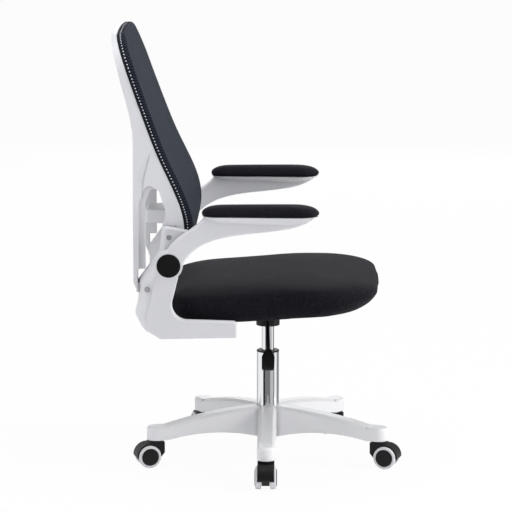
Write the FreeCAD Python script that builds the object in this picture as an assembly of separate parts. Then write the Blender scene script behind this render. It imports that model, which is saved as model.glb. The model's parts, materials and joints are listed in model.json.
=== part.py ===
import FreeCAD, Part
import math
import os

# Ergonomic office chair on a five-star base with twin-wheel casters and a gas lift.
# Millimetres. +X is forward, +Y is the sitter's left, +Z is up.
# The origin is on the floor, on the axis of the gas lift.

# Fits
RUNNING = 0.05            # radial clearance of shafts that turn or slide
SEATED = 0.03             # radial clearance of pieces that are pressed or screwed together
GAP = 0.3                 # free space beside soft pieces and between moving faces

# Casters
STEM_CIRCLE = 256.0       # radius of the circle of caster stems
CASTER_TRAIL = 21.0       # from the stem's axis to the axle
WHEEL_RADIUS = 25.0
TYRE_WIDTH = 12.5
TYRE_DEPTH = 6.0          # from the hub disc to the tread
WHEEL_BULGE = 1.7         # how far a hub disc stands out of its tyre
WHEEL_SPACING = 19.6      # between the inner faces of two tyres
TYRE_EDGE = 3.0           # rounding of the tread's shoulders
HOOD_WIDTH = 36.0
HOOD_GAP = 1.2            # between tyre and hood, and between tyre and web
HOOD_WALL = 2.4
HOOD_TOP = 56.5           # height of the hood's flat top plate
HOOD_NOSE = 13.0          # from the stem's axis to the hood's straight front face
AXLE_RADIUS = 3.0
AXLE_INSET = 6.0          # how far the axle ends inside the hub disc
STEM_RADIUS = 5.5         # part of the stem that sits in the leg
STEM_PIN_RADIUS = 4.0     # part of the stem on which the caster turns
STEM_FLANGE_RADIUS = 8.0
STEM_DEPTH = 22.0         # depth of the socket in the leg
STEM_PIN_LENGTH = 19.0
CASTER_TURNS = (0.0, 0.0, 50.0, -22.0, 0.0)   # how far each caster is swivelled at rest, degrees

# Five-star base
LEG_COUNT = 5
FIRST_LEG_ANGLE = -90.0
LEG_WIDTH = 39.0
LEG_CHAMFER = 6.0         # sloped edges along the top of a leg
LEG_END_HEIGHT = 30.0     # thickness of the level block at a leg's end
LEG_END_REACH = 3.0       # the block's round end is centred this far outside the stem
LEG_END_LENGTH = 20.0     # level part on the hub's side of the stem
LEG_ARCH = 14.0           # rise of the hollow underside between hub and end
LEG_SWELL = 6.0           # rise of the top above a straight line from hub to end
LEG_WALL = 4.5
LEG_RIBS = 3              # ribs across the hollow underside, between hub and end block
RIB_THICKNESS = 4.0
STEM_FLANGE_HEIGHT = 3.4
HUB_TOP = 124.0
HUB_BOTTOM = 52.0
HUB_RADIUS = 34.0
HUB_DRAFT = 5.0           # how much wider the hub is at its foot

# Gas lift
COLUMN_RADIUS = 25.0
COLUMN_WALL = 2.0
COLUMN_TOP = 246.0
COLUMN_TAPER = 1.2        # loss of radius in the seat of the hub
COLUMN_FLOOR = 4.0        # plate that closes the tube's lower end
RIM_HEIGHT = 3.0          # black rim on top of the tube
BUSH_LENGTH = 86.0
CYLINDER_RADIUS = 14.0
CYLINDER_WALL = 2.0
CYLINDER_LOW = 118.0      # lower end of the pressure cylinder at rest
CYLINDER_GLAND = 12.0     # closed lower end with the rod's seal
CYLINDER_CROWN = 10.0     # closed upper end with the valve
CYLINDER_TAPER = 0.9      # loss of radius in the seat plate's socket
ROD_RADIUS = 5.0
PISTON_HEIGHT = 10.0
PISTON_TOP = 205.0
ROD_TAIL = 8.0            # rod below the tube's floor
CLIP_RADIUS = 9.0
CLIP_HEIGHT = 3.0
BEARING_RADIUS = 13.0
BEARING_HEIGHT = 9.0
VALVE_RADIUS = 3.0
VALVE_REACH = 6.0         # valve pin above the cylinder

# Seat
SEAT_HEIGHT = 356.0       # underside of the seat pan above the floor, on the lift's axis
SEAT_TILT = 4.0           # degrees, front edge up
SEAT_BACK = -214.0
SEAT_FRONT = 240.0
SEAT_BOW = 12.0           # how far the front edge bows out at the middle
SEAT_HALF_FRONT = 246.0
SEAT_SIDE_GAP = 18.0      # from the flat side of a bracket to the cushion's rear corner
SEAT_CORNER_FRONT = 80.0
SEAT_CORNER_BACK = 85.0
SEAT_EDGE_HEIGHT = 60.0   # height of the cushion's upper edge above the pan's underside
SEAT_CROWN = 12.0         # rise of the cushion's middle above that edge
PAN_THICKNESS = 10.0
PAN_INSET = 30.0          # from the cushion's widest line to the pan's edge
PAN_FRONT_INSET = 84.0
PLATE_LENGTH = 210.0
PLATE_WIDTH = 180.0
PLATE_THICKNESS = 3.0
PLATE_RIM = 12.0          # depth of the plate's turned-down rim
PLATE_CORNER = 22.0
BOX_LENGTH = 130.0        # pressed housing under the plate
BOX_WIDTH = 84.0
BOX_DEPTH = 30.0
BOX_CORNER = 14.0
SOCKET_RADIUS = 26.0      # tube that takes the cylinder's taper
SOCKET_DEPTH = 53.0       # lower end of that tube below the pan's underside
BOLT_RADIUS = 3.0
BOLT_HEAD_RADIUS = 6.0
BOLT_HEAD_HEIGHT = 4.0
BOLT_GRIP = 9.0           # length of a bolt inside the pan
PLATE_BOLT_X = 84.0
PLATE_BOLT_Y = 72.0

# Lever
LEVER_RADIUS = 4.0
LEVER_PIVOT_Y = -32.0
LEVER_BOSS_RADIUS = 6.0
LEVER_BOSS_WIDTH = 14.0
LEVER_PIN_RADIUS = 2.5
LEVER_DEPTH = 12.0        # rod's middle line below the seat plate
LEVER_KNEE_Y = -80.0      # where the rod starts to slope down
LEVER_DRIFT = 4.0         # how far the paddle end stands forward
PADDLE_Y = -178.0         # inner end of the paddle
PADDLE_DROP = 68.0        # from the pivot's height to the paddle's inner end
PADDLE_LENGTH = 56.0
PADDLE_SLOPE = 36.0       # degrees below level
PADDLE_WIDTH = 28.0
PADDLE_NECK = 13.0
PADDLE_THICKNESS = 9.0
LEVER_SLOT = 4.0          # free space around the rod where it leaves the housing

# Side brackets
BRACKET_LAP = 2.0         # inner face of a bracket inside the frame's side
BRACKET_REACH = 24.0      # outer face of a bracket outside the frame's side
BRACKET_PLATE = 14.0      # thickness of the flat side
BRACKET_BEVEL = 2.5
BRACKET_ROUND = 33.0      # how far the rear edge is rounded off at the outer face
FOOT_FRONT = -62.0
FOOT_HEIGHT = 35.0
FOOT_DROP = 25.0          # foot's lower edge below the pan's underside at its front end
FOOT_FLANGE = 8.0
FOOT_FLANGE_INSET = 62.0  # flange's inner edge inside the cushion's rear corner
FLANGE_BOLT_INSET = 42.0
FLANGE_BOLTS_X = (-120.0, -84.0)
RISER_BACK = -274.0
RISER_FRONT = -206.0      # front of the riser's thick inner part
SPINE_LAP_TOP = 446.0     # the frame's rear spine lies on the bracket's back below this height
LAP_GAP = 3.0             # height left between the spine's flange and the bracket
SOCKET_TOP = 566.0        # the front strut enters the bracket at this height
SOCKET_SLOPE = 9.0        # fall of the bracket's top edge towards the front
SOCKET_FRONT = -162.0
SOCKET_BACK = -221.0

# Arms
PIVOT_X = -205.0
PIVOT_Z = 489.0
PIVOT_RADIUS = 12.0
PIVOT_DEPTH = 24.0        # pin inside the bracket
PIVOT_HEAD_RADIUS = 17.0
PIVOT_HEAD_HEIGHT = 3.0
ARM_BOSS_RADIUS = 30.0
ARM_GAP = 6.0             # between a bracket and the arm's beam
ARM_WIDTH = 32.0
ARM_EDGE = 5.0            # rounding of the beam's edges
CAP_RADIUS = 25.0
CAP_HEIGHT = 7.0
CAP_DOME = 1.5
PAD_INSET = 14.0          # middle line of the arm pad inside the beam's outer face
PAD_BOTTOM = 595.0
PAD_HEIGHT = 22.0
PAD_BACK = -136.0
PAD_FRONT = 113.0
PAD_HALF_BACK = 30.0
PAD_HALF_FRONT = 38.0
TRAY_DEPTH = 18.0

# Back
BACK_TOP = 959.0          # height of the top corners
BACK_ARCH = 7.0           # rise of the top edge at the middle
BACK_BOTTOM = 500.0
BACK_START = 30.0         # the back's line starts this far below its lower edge
BACK_LEAN = 331.0         # how far the top of the back's line lies behind the lift's axis
BACK_WAIST = 600.0        # height of the widest line
BACK_HALF = 238.0
BACK_TAPER = 33.0         # how much narrower each side is at the top and at the bottom
WAIST_ROUND = 180.0
BACK_CORNER = 95.0
BACK_CORNER_LOW = 60.0
FRAME_WALL = 22.0         # width of the frame's sides, seen from the front
BAND_WIDTH = 13.0
BAND_DEPTH = 18.0
MESH_THICKNESS = 2.0
MESH_SETBACK = 1.6        # mesh behind the band's front edge
MESH_GRIP = 5.0           # mesh inside the band's groove
SPINE_BACK = -283.0
SPINE_DEPTH = 12.0
FLANGE_DEPTH = 13.0       # recessed flange along the spine's front edge
FLANGE_SETBACK = 8.0      # how far that flange lies inside the frame's side
SPINE_END = 421.0
SPINE_CHAMFER = 20.0
WINDOW_TOP = 668.0        # open triangle between strut and spine
WINDOW_SLOPE = 58.0       # height of the triangle's sloping upper part
WINDOW_WIDTH = 21.0
STRUT_STEP = 2.0          # how far the strut's side lies inside the upper panel's
CREASE_TOP = (-245.8, 722.6)   # the panel's lower edge, from the mesh to the spine
CREASE_MIDDLE = (-261.1, 662.7)
CREASE_LOW = 619.7
TONGUE_LENGTH = 44.0
TONGUE_SHOULDER = 5.0
LOWER_TONGUE = 20.0       # height of the tongue on the spine
LUMBAR_BOTTOM = 538.0
LUMBAR_HEIGHT = 30.0
LUMBAR_BACK = -267.0      # rear face of the block behind the mesh
LUMBAR_FRONT = -199.0
LUMBAR_HALF_BACK = 40.0
LUMBAR_HALF_FRONT = 60.0
LUMBAR_ROUND = 6.0
LUMBAR_BAR = 8.0          # thickness of the bar that carries the block
LUMBAR_BAR_HEIGHT = 20.0
SCREW_RADIUS = 3.0
SCREW_HEAD_RADIUS = 5.5
SCREW_HEAD_HEIGHT = 4.0
SCREW_LENGTH = 30.0
SCREW_SINK = 6.0          # heads lie this deep in their holes
UPPER_SCREW = (-205.0, 543.0)
LOWER_SCREW = (-253.0, 430.0)

V = FreeCAD.Vector
X_AXIS = V(1, 0, 0)
Y_AXIS = V(0, 1, 0)
Z_AXIS = V(0, 0, 1)
ORIGIN = V(0, 0, 0)

TYRE_INNER = WHEEL_SPACING / 2
TYRE_OUTER = TYRE_INNER + TYRE_WIDTH
HUB_DISC_RADIUS = WHEEL_RADIUS - TYRE_DEPTH
WEB_HALF = TYRE_INNER - HOOD_GAP
AXLE_X = STEM_CIRCLE + CASTER_TRAIL
LEG_END_BOTTOM = HOOD_TOP + GAP + STEM_FLANGE_HEIGHT
LEG_END_TOP = LEG_END_BOTTOM + LEG_END_HEIGHT
LEG_END_CENTRE = STEM_CIRCLE + LEG_END_REACH
COLUMN_BORE = COLUMN_RADIUS - COLUMN_WALL
BUSH_BOTTOM = COLUMN_TOP - BUSH_LENGTH
TUBE_BOTTOM = HUB_BOTTOM + ROD_TAIL
TUBE_FLOOR_TOP = TUBE_BOTTOM + COLUMN_FLOOR
LEVER_Z = SEAT_HEIGHT - PLATE_THICKNESS - LEVER_DEPTH
LEVER_PIVOT = V(0, LEVER_PIVOT_Y, LEVER_Z)
VALVE_TOP = LEVER_Z - LEVER_RADIUS - GAP
CYLINDER_TOP = VALVE_TOP - VALVE_REACH
BRACKET_INNER = BACK_HALF - FRAME_WALL - BRACKET_LAP
BRACKET_OUTER = BACK_HALF + BRACKET_REACH
PLATE_FACE = BRACKET_OUTER - BRACKET_PLATE
ARM_INNER = BRACKET_OUTER + ARM_GAP
ARM_OUTER = ARM_INNER + ARM_WIDTH
PAD_MIDDLE = ARM_OUTER - PAD_INSET
SEAT_HALF_BACK = PLATE_FACE - SEAT_SIDE_GAP
FOOT_FLANGE_INNER = SEAT_HALF_BACK - FOOT_FLANGE_INSET
FLANGE_BOLT_Y = SEAT_HALF_BACK - FLANGE_BOLT_INSET
SOCKET_BOTTOM = SEAT_HEIGHT - SOCKET_DEPTH
BACK_HALF_TOP = BACK_HALF - BACK_TAPER
BACK_HALF_BOTTOM = BACK_HALF - BACK_TAPER
BACK_RISE = BACK_TOP - SOCKET_TOP
RISER_TURN = (PIVOT_X - 24, PIVOT_Z + 18)   # where the riser's sloping rear edge turns upright
CAP_FACE = ARM_OUTER + CAP_DOME


def flat(points, to_space):
    """Turn (a, b) or (a, b, radius) corners into a closed wire of lines and arcs."""
    corners = [(V(p[0], p[1], 0), p[2] if len(p) > 2 else 0.0) for p in points]
    count = len(corners)
    runs = []
    for i, (here, radius) in enumerate(corners):
        before = (corners[i - 1][0] - here).normalize()
        after = (corners[(i + 1) % count][0] - here).normalize()
        half = before.getAngle(after) / 2
        reach = radius / math.tan(half)
        middle = (before + after)
        if radius > 0:
            middle.normalize()
            tip = here + middle * (radius / math.sin(half) - radius)
            runs.append((here + before * reach, tip, here + after * reach))
        else:
            runs.append((here, None, here))
    edges = []
    for i, (start, tip, end) in enumerate(runs):
        if tip is not None:
            edges.append(Part.Arc(to_space(start), to_space(tip), to_space(end)).toShape())
        following = runs[(i + 1) % count][0]
        if end.distanceToPoint(following) > 1e-4:
            edges.append(Part.LineSegment(to_space(end), to_space(following)).toShape())
    return Part.Wire(edges)


def at_height(z):
    """Corners given as (x, y) lie level at height z."""
    return lambda p: V(p.x, p.y, z)


def at_side(y):
    """Corners given as (x, z) stand upright at the distance y from the middle plane."""
    return lambda p: V(p.x, y, p.y)


def at_depth(x):
    """Corners given as (y, z) stand upright across the chair at x."""
    return lambda p: V(x, p.x, p.y)


def prism(wire, x=0.0, y=0.0, z=0.0):
    """Solid swept from a closed flat wire along one direction."""
    return Part.Face(wire).extrude(V(x, y, z))


def turned(points, centre=ORIGIN):
    """Solid of revolution about an upright axis from (radius, height) corners."""
    wire = flat(points, lambda p: V(centre.x + p.x, centre.y, p.y))
    return Part.Face(wire).revolve(V(centre.x, centre.y, 0), Z_AXIS, 360)


def rod(radius, start, end):
    """Round bar between two points."""
    return Part.makeCylinder(radius, (end - start).Length, start, end - start)


def mirrored(shape):
    """The same piece on the other side of the middle plane."""
    return shape.mirror(ORIGIN, Y_AXIS)


def seated(shape):
    """Move a piece from the seat's own level frame to its tilted place."""
    moved = shape.copy()
    moved.rotate(ORIGIN, Y_AXIS, -SEAT_TILT)
    moved.translate(V(0, 0, SEAT_HEIGHT))
    return moved


def seat_underside(x):
    """Height of the seat pan's underside above the floor at x."""
    return SEAT_HEIGHT + x * math.tan(math.radians(SEAT_TILT))


def round_leg(shape, leg):
    """Turn a piece that was made along +X to the place of one leg."""
    turned_piece = shape.copy()
    turned_piece.rotate(ORIGIN, Z_AXIS, FIRST_LEG_ANGLE + leg * 360.0 / LEG_COUNT)
    return turned_piece


def at_caster(shape, leg):
    """Turn a piece of a caster about its stem, then to the place of one leg."""
    swivelled = shape.copy()
    swivelled.rotate(V(STEM_CIRCLE, 0, 0), Z_AXIS, CASTER_TURNS[leg])
    return round_leg(swivelled, leg)


def save(name, *solids):
    """Write the solids of one node to its file."""
    shape = solids[0] if len(solids) == 1 else Part.makeCompound(list(solids))
    shape.exportStep(os.path.join("parts", name + ".step"))


def leg_heights(share):
    """Lower and upper edge of a leg at a share of the way from the hub to the end block."""
    lift = 4 * share * (1 - share)
    lower = HUB_BOTTOM + (LEG_END_BOTTOM - HUB_BOTTOM) * share + LEG_ARCH * lift
    upper = HUB_TOP - 2 + (LEG_END_TOP - HUB_TOP + 2) * share + LEG_SWELL * lift
    return lower, upper


def leg_loft(shares, wall):
    """Tapering body of a leg, or with a wall the hollow inside it, open below."""
    start = HUB_RADIUS * 0.6
    length = STEM_CIRCLE - LEG_END_LENGTH - start
    half = LEG_WIDTH / 2 - wall
    sections = []
    for share in shares:
        lower, upper = leg_heights(share)
        lower -= wall
        upper -= wall
        shoulder = upper - LEG_CHAMFER
        crest = half - LEG_CHAMFER
        right = [(half, lower), (half, shoulder), (crest, upper)]
        left = [(-y, z) for y, z in reversed(right)]
        sections.append(flat(right + left, at_depth(start + length * share)))
    return Part.makeLoft(sections, True, False)


def leg_end():
    """Level block at the end of a leg, with its collar face and socket for the caster stem."""
    half = LEG_WIDTH / 2
    inner = STEM_CIRCLE - LEG_END_LENGTH
    outline = [
        Part.LineSegment(V(inner, -half, LEG_END_BOTTOM), V(LEG_END_CENTRE, -half, LEG_END_BOTTOM)).toShape(),
        Part.Arc(
            V(LEG_END_CENTRE, -half, LEG_END_BOTTOM),
            V(LEG_END_CENTRE + half, 0, LEG_END_BOTTOM),
            V(LEG_END_CENTRE, half, LEG_END_BOTTOM),
        ).toShape(),
        Part.LineSegment(V(LEG_END_CENTRE, half, LEG_END_BOTTOM), V(inner, half, LEG_END_BOTTOM)).toShape(),
        Part.LineSegment(V(inner, half, LEG_END_BOTTOM), V(inner, -half, LEG_END_BOTTOM)).toShape(),
    ]
    block = prism(Part.Wire(outline), z=LEG_END_HEIGHT)
    tops = [e for e in block.Edges if e.BoundBox.ZMin > LEG_END_TOP - 0.1 and e.BoundBox.XMax > inner + 1]
    return block.makeFillet(LEG_CHAMFER, tops)


def star_base():
    """Five legs with hollow ribbed undersides, round a hub with a tapered seat for the lift."""
    foot = HUB_RADIUS + HUB_DRAFT
    base = turned([(0, HUB_BOTTOM), (foot, HUB_BOTTOM, 3), (HUB_RADIUS, HUB_TOP, 4), (0, HUB_TOP)])
    outer = leg_loft([i / 5 for i in range(6)], 0.0).fuse(leg_end())
    base = base.multiFuse([round_leg(outer, leg) for leg in range(LEG_COUNT)])
    clear = (foot + LEG_WALL - HUB_RADIUS * 0.6) / (STEM_CIRCLE - LEG_END_LENGTH - HUB_RADIUS * 0.6)
    pitch = (1 - clear) / LEG_RIBS
    rib = RIB_THICKNESS / (STEM_CIRCLE - LEG_END_LENGTH)
    hollows = []
    for bay in range(LEG_RIBS):
        low = clear + bay * pitch
        high = low + pitch - rib
        hollows.append(leg_loft([low, (low + high) / 2, high], LEG_WALL))
    for leg in range(LEG_COUNT):
        base = base.cut([round_leg(hollow, leg) for hollow in hollows])
        base = base.cut(round_leg(stem(SEATED), leg))
    return base.cut(column_seat(SEATED)).removeSplitter()


def stem(clearance=0.0):
    """Caster stem: shank in the leg, flange against the leg's end and pin for the caster."""
    flange_bottom = LEG_END_BOTTOM - STEM_FLANGE_HEIGHT
    pin_bottom = flange_bottom - STEM_PIN_LENGTH
    shank_top = LEG_END_BOTTOM + STEM_DEPTH
    if clearance:
        return Part.makeCylinder(STEM_RADIUS + clearance, STEM_DEPTH + GAP, V(STEM_CIRCLE, 0, LEG_END_BOTTOM))
    return turned(
        [
            (0, pin_bottom),
            (STEM_PIN_RADIUS, pin_bottom),
            (STEM_PIN_RADIUS, flange_bottom),
            (STEM_FLANGE_RADIUS, flange_bottom),
            (STEM_FLANGE_RADIUS, LEG_END_BOTTOM),
            (STEM_RADIUS, LEG_END_BOTTOM),
            (STEM_RADIUS, shank_top),
            (0, shank_top),
        ],
        V(STEM_CIRCLE, 0, 0),
    )


def caster_hood():
    """Hood over both wheels, with the web between them that holds the axle and turns on the stem."""
    radius = WHEEL_RADIUS + HOOD_GAP + HOOD_WALL
    nose = STEM_CIRCLE - HOOD_NOSE
    top = HOOD_TOP
    axle = WHEEL_RADIUS
    shoulder = V(AXLE_X, 0, axle + radius)
    outline = [
        Part.LineSegment(V(nose, 0, top), V(STEM_CIRCLE + HOOD_NOSE, 0, top)).toShape(),
        Part.LineSegment(V(STEM_CIRCLE + HOOD_NOSE, 0, top), shoulder).toShape(),
        Part.Arc(
            shoulder,
            V(AXLE_X + radius * math.sqrt(0.5), 0, axle + radius * math.sqrt(0.5)),
            V(AXLE_X + radius, 0, axle),
        ).toShape(),
        Part.LineSegment(V(AXLE_X + radius, 0, axle), V(AXLE_X + radius - 10, 0, axle - 14)).toShape(),
        Part.LineSegment(V(AXLE_X + radius - 10, 0, axle - 14), V(nose + 10, 0, axle - 4)).toShape(),
        Part.LineSegment(V(nose + 10, 0, axle - 4), V(nose, 0, axle + 8)).toShape(),
        Part.LineSegment(V(nose, 0, axle + 8), V(nose, 0, top)).toShape(),
    ]
    hood = prism(Part.Wire(outline), y=HOOD_WIDTH)
    hood.translate(V(0, -HOOD_WIDTH / 2, 0))
    room = WHEEL_RADIUS + HOOD_GAP
    for side in (-1, 1):
        hood = hood.cut(rod(room, V(AXLE_X, side * WEB_HALF, axle), V(AXLE_X, side * HOOD_WIDTH, axle)))
    hood = hood.cut(rod(AXLE_RADIUS + SEATED, V(AXLE_X, -HOOD_WIDTH, axle), V(AXLE_X, HOOD_WIDTH, axle)))
    pin_room = STEM_PIN_LENGTH + GAP
    pin_floor = V(STEM_CIRCLE, 0, top + GAP - pin_room)
    return hood.cut(Part.makeCylinder(STEM_PIN_RADIUS + RUNNING, pin_room, pin_floor))


def caster_axle():
    """Steel pin through the web, with a wheel on each end."""
    end = TYRE_OUTER + WHEEL_BULGE - AXLE_INSET
    return rod(AXLE_RADIUS, V(AXLE_X, -end, WHEEL_RADIUS), V(AXLE_X, end, WHEEL_RADIUS))


def on_axle(points, side):
    """Solid of revolution about the axle from (radius, distance from the middle plane) corners."""
    wire = flat(points, lambda p: V(AXLE_X, side * p.y, WHEEL_RADIUS + p.x))
    return Part.Face(wire).revolve(V(AXLE_X, 0, WHEEL_RADIUS), Y_AXIS, 360)


def wheel_hub(side):
    """Dished hub disc with a blind bore for the axle."""
    bore = AXLE_RADIUS + RUNNING
    face = TYRE_OUTER + WHEEL_BULGE
    floor = face - AXLE_INSET + GAP
    return on_axle(
        [
            (0, floor),
            (bore, floor),
            (bore, TYRE_INNER),
            (HUB_DISC_RADIUS, TYRE_INNER),
            (HUB_DISC_RADIUS, face - WHEEL_BULGE / 2, WHEEL_BULGE / 4),
            (HUB_DISC_RADIUS * 0.8, face, WHEEL_BULGE),
            (0, face),
        ],
        side,
    )


def wheel_tyre(side):
    """Soft tread round the hub disc, with round shoulders."""
    inner = HUB_DISC_RADIUS + SEATED
    return on_axle(
        [
            (inner, TYRE_INNER),
            (WHEEL_RADIUS, TYRE_INNER, TYRE_EDGE),
            (WHEEL_RADIUS, TYRE_OUTER, TYRE_EDGE),
            (inner, TYRE_OUTER),
        ],
        side,
    )


def column_seat(clearance):
    """The lift's outer tube as a full body, for the tube itself and for its seat in the hub."""
    wide = COLUMN_RADIUS + clearance
    narrow = wide - COLUMN_TAPER
    return turned([(0, TUBE_BOTTOM - clearance), (narrow, TUBE_BOTTOM - clearance), (wide, HUB_TOP),
                   (wide, COLUMN_TOP), (0, COLUMN_TOP)]).fuse(
        Part.makeCylinder(CLIP_RADIUS + clearance + GAP, TUBE_BOTTOM))


def column_tube():
    """Chromed outer tube, closed by a floor with a hole for the piston rod."""
    narrow = COLUMN_RADIUS - COLUMN_TAPER
    hole = ROD_RADIUS + RUNNING
    top = COLUMN_TOP - RIM_HEIGHT
    return turned(
        [
            (hole, TUBE_BOTTOM),
            (narrow, TUBE_BOTTOM),
            (COLUMN_RADIUS, HUB_TOP),
            (COLUMN_RADIUS, top),
            (COLUMN_BORE, top),
            (COLUMN_BORE, HUB_TOP),
            (COLUMN_BORE - COLUMN_TAPER, TUBE_FLOOR_TOP),
            (hole, TUBE_FLOOR_TOP),
        ]
    )


def column_bush():
    """Plastic guide in the top of the tube, with a rim over the tube's edge."""
    bore = CYLINDER_RADIUS + RUNNING
    fit = COLUMN_BORE - SEATED
    under_rim = COLUMN_TOP - RIM_HEIGHT
    return turned(
        [
            (bore, BUSH_BOTTOM),
            (fit, BUSH_BOTTOM),
            (fit, under_rim),
            (COLUMN_RADIUS, under_rim),
            (COLUMN_RADIUS, COLUMN_TOP, RIM_HEIGHT / 2),
            (bore, COLUMN_TOP),
        ]
    )


def piston_rod():
    """Rod that stands in the tube's floor and carries the piston inside the cylinder."""
    piston = CYLINDER_RADIUS - CYLINDER_WALL - RUNNING
    tail = TUBE_BOTTOM - ROD_TAIL / 2 - CLIP_HEIGHT / 2
    return turned(
        [
            (0, tail),
            (ROD_RADIUS, tail),
            (ROD_RADIUS, PISTON_TOP - PISTON_HEIGHT),
            (piston, PISTON_TOP - PISTON_HEIGHT),
            (piston, PISTON_TOP),
            (0, PISTON_TOP),
        ]
    )


def rod_clip():
    """Clip under the tube's floor that keeps the rod from lifting out."""
    top = TUBE_BOTTOM - GAP
    low = top - CLIP_HEIGHT
    inner = ROD_RADIUS + SEATED
    return turned([(inner, low), (CLIP_RADIUS, low), (CLIP_RADIUS, top), (inner, top)])


def thrust_bearing():
    """Bearing ring on the tube's floor, round the rod."""
    inner = ROD_RADIUS + RUNNING
    top = TUBE_FLOOR_TOP + BEARING_HEIGHT
    middle = (TUBE_FLOOR_TOP + top) / 2
    return turned(
        [
            (inner, TUBE_FLOOR_TOP),
            (BEARING_RADIUS, TUBE_FLOOR_TOP),
            (BEARING_RADIUS, middle - 1),
            (BEARING_RADIUS - 2, middle),
            (BEARING_RADIUS, middle + 1),
            (BEARING_RADIUS, top),
            (inner, top),
        ]
    )


def gas_cylinder():
    """Pressure cylinder with its rod seal below and its taper and valve bore above."""
    bore = CYLINDER_RADIUS - CYLINDER_WALL
    tip = CYLINDER_RADIUS - CYLINDER_TAPER
    crown = CYLINDER_TOP - CYLINDER_CROWN
    gland = CYLINDER_LOW + CYLINDER_GLAND
    seal = ROD_RADIUS + RUNNING
    pin = VALVE_RADIUS + RUNNING
    return turned(
        [
            (seal, CYLINDER_LOW),
            (CYLINDER_RADIUS - 1, CYLINDER_LOW),
            (CYLINDER_RADIUS, CYLINDER_LOW + 2),
            (CYLINDER_RADIUS, SOCKET_BOTTOM),
            (tip, CYLINDER_TOP),
            (pin, CYLINDER_TOP),
            (pin, crown),
            (bore - 1, crown),
            (bore, crown - 8),
            (bore, gland),
            (seal, gland),
        ]
    )


def valve_pin():
    """Pin in the cylinder's crown that the lever presses to let the seat rise or sink."""
    low = CYLINDER_TOP - CYLINDER_CROWN
    return Part.makeCylinder(VALVE_RADIUS, VALVE_TOP - low, V(0, 0, low))


def lever_route():
    """Middle line of the lever's rod: over the valve, out under the seat and down to the paddle."""
    return [
        V(0, LEVER_RADIUS * 2, LEVER_Z),
        V(0, LEVER_KNEE_Y, LEVER_Z),
        V(LEVER_DRIFT, PADDLE_Y, LEVER_Z - PADDLE_DROP),
    ]


def lever_rod():
    """Bent rod with the boss in which it turns on its pin."""
    start, knee, end = lever_route()
    bar = rod(LEVER_RADIUS, start, knee).multiFuse([
        Part.makeSphere(LEVER_RADIUS, knee),
        rod(LEVER_RADIUS, knee, end),
    ])
    half = X_AXIS * (LEVER_BOSS_WIDTH / 2)
    bar = bar.fuse(rod(LEVER_BOSS_RADIUS, LEVER_PIVOT - half, LEVER_PIVOT + half))
    return bar.cut(rod(LEVER_PIN_RADIUS + RUNNING, LEVER_PIVOT - half * 2, LEVER_PIVOT + half * 2))


def lever_paddle():
    """Flat finger paddle on the end of the rod, narrowed to a neck."""
    neck = PADDLE_NECK / 2
    half = PADDLE_WIDTH / 2
    outline = [
        (-neck, 0, 1),
        (neck, 0, 1),
        (half, PADDLE_LENGTH * 0.38, 6),
        (half * 0.96, PADDLE_LENGTH, 5),
        (-half * 0.96, PADDLE_LENGTH, 5),
        (-half, PADDLE_LENGTH * 0.38, 6),
    ]
    paddle = prism(flat(outline, lambda p: V(p.x, -p.y, -PADDLE_THICKNESS / 2)), z=PADDLE_THICKNESS)
    paddle = paddle.makeFillet(2.0, [e for e in paddle.Edges if abs(e.BoundBox.ZMax - e.BoundBox.ZMin) < 0.1])
    paddle.rotate(ORIGIN, X_AXIS, PADDLE_SLOPE)
    start, knee, end = lever_route()
    along = (end - knee).normalize()
    paddle.translate(end - along * PADDLE_NECK)
    return paddle.cut(rod(LEVER_RADIUS + SEATED, knee, end))


def lever_pin():
    """Cross pin on which the lever turns, held by the ears of the seat plate."""
    half = X_AXIS * (LEVER_BOSS_WIDTH / 2 + GAP + PLATE_THICKNESS)
    return rod(LEVER_PIN_RADIUS, LEVER_PIVOT - half, LEVER_PIVOT + half)


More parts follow.
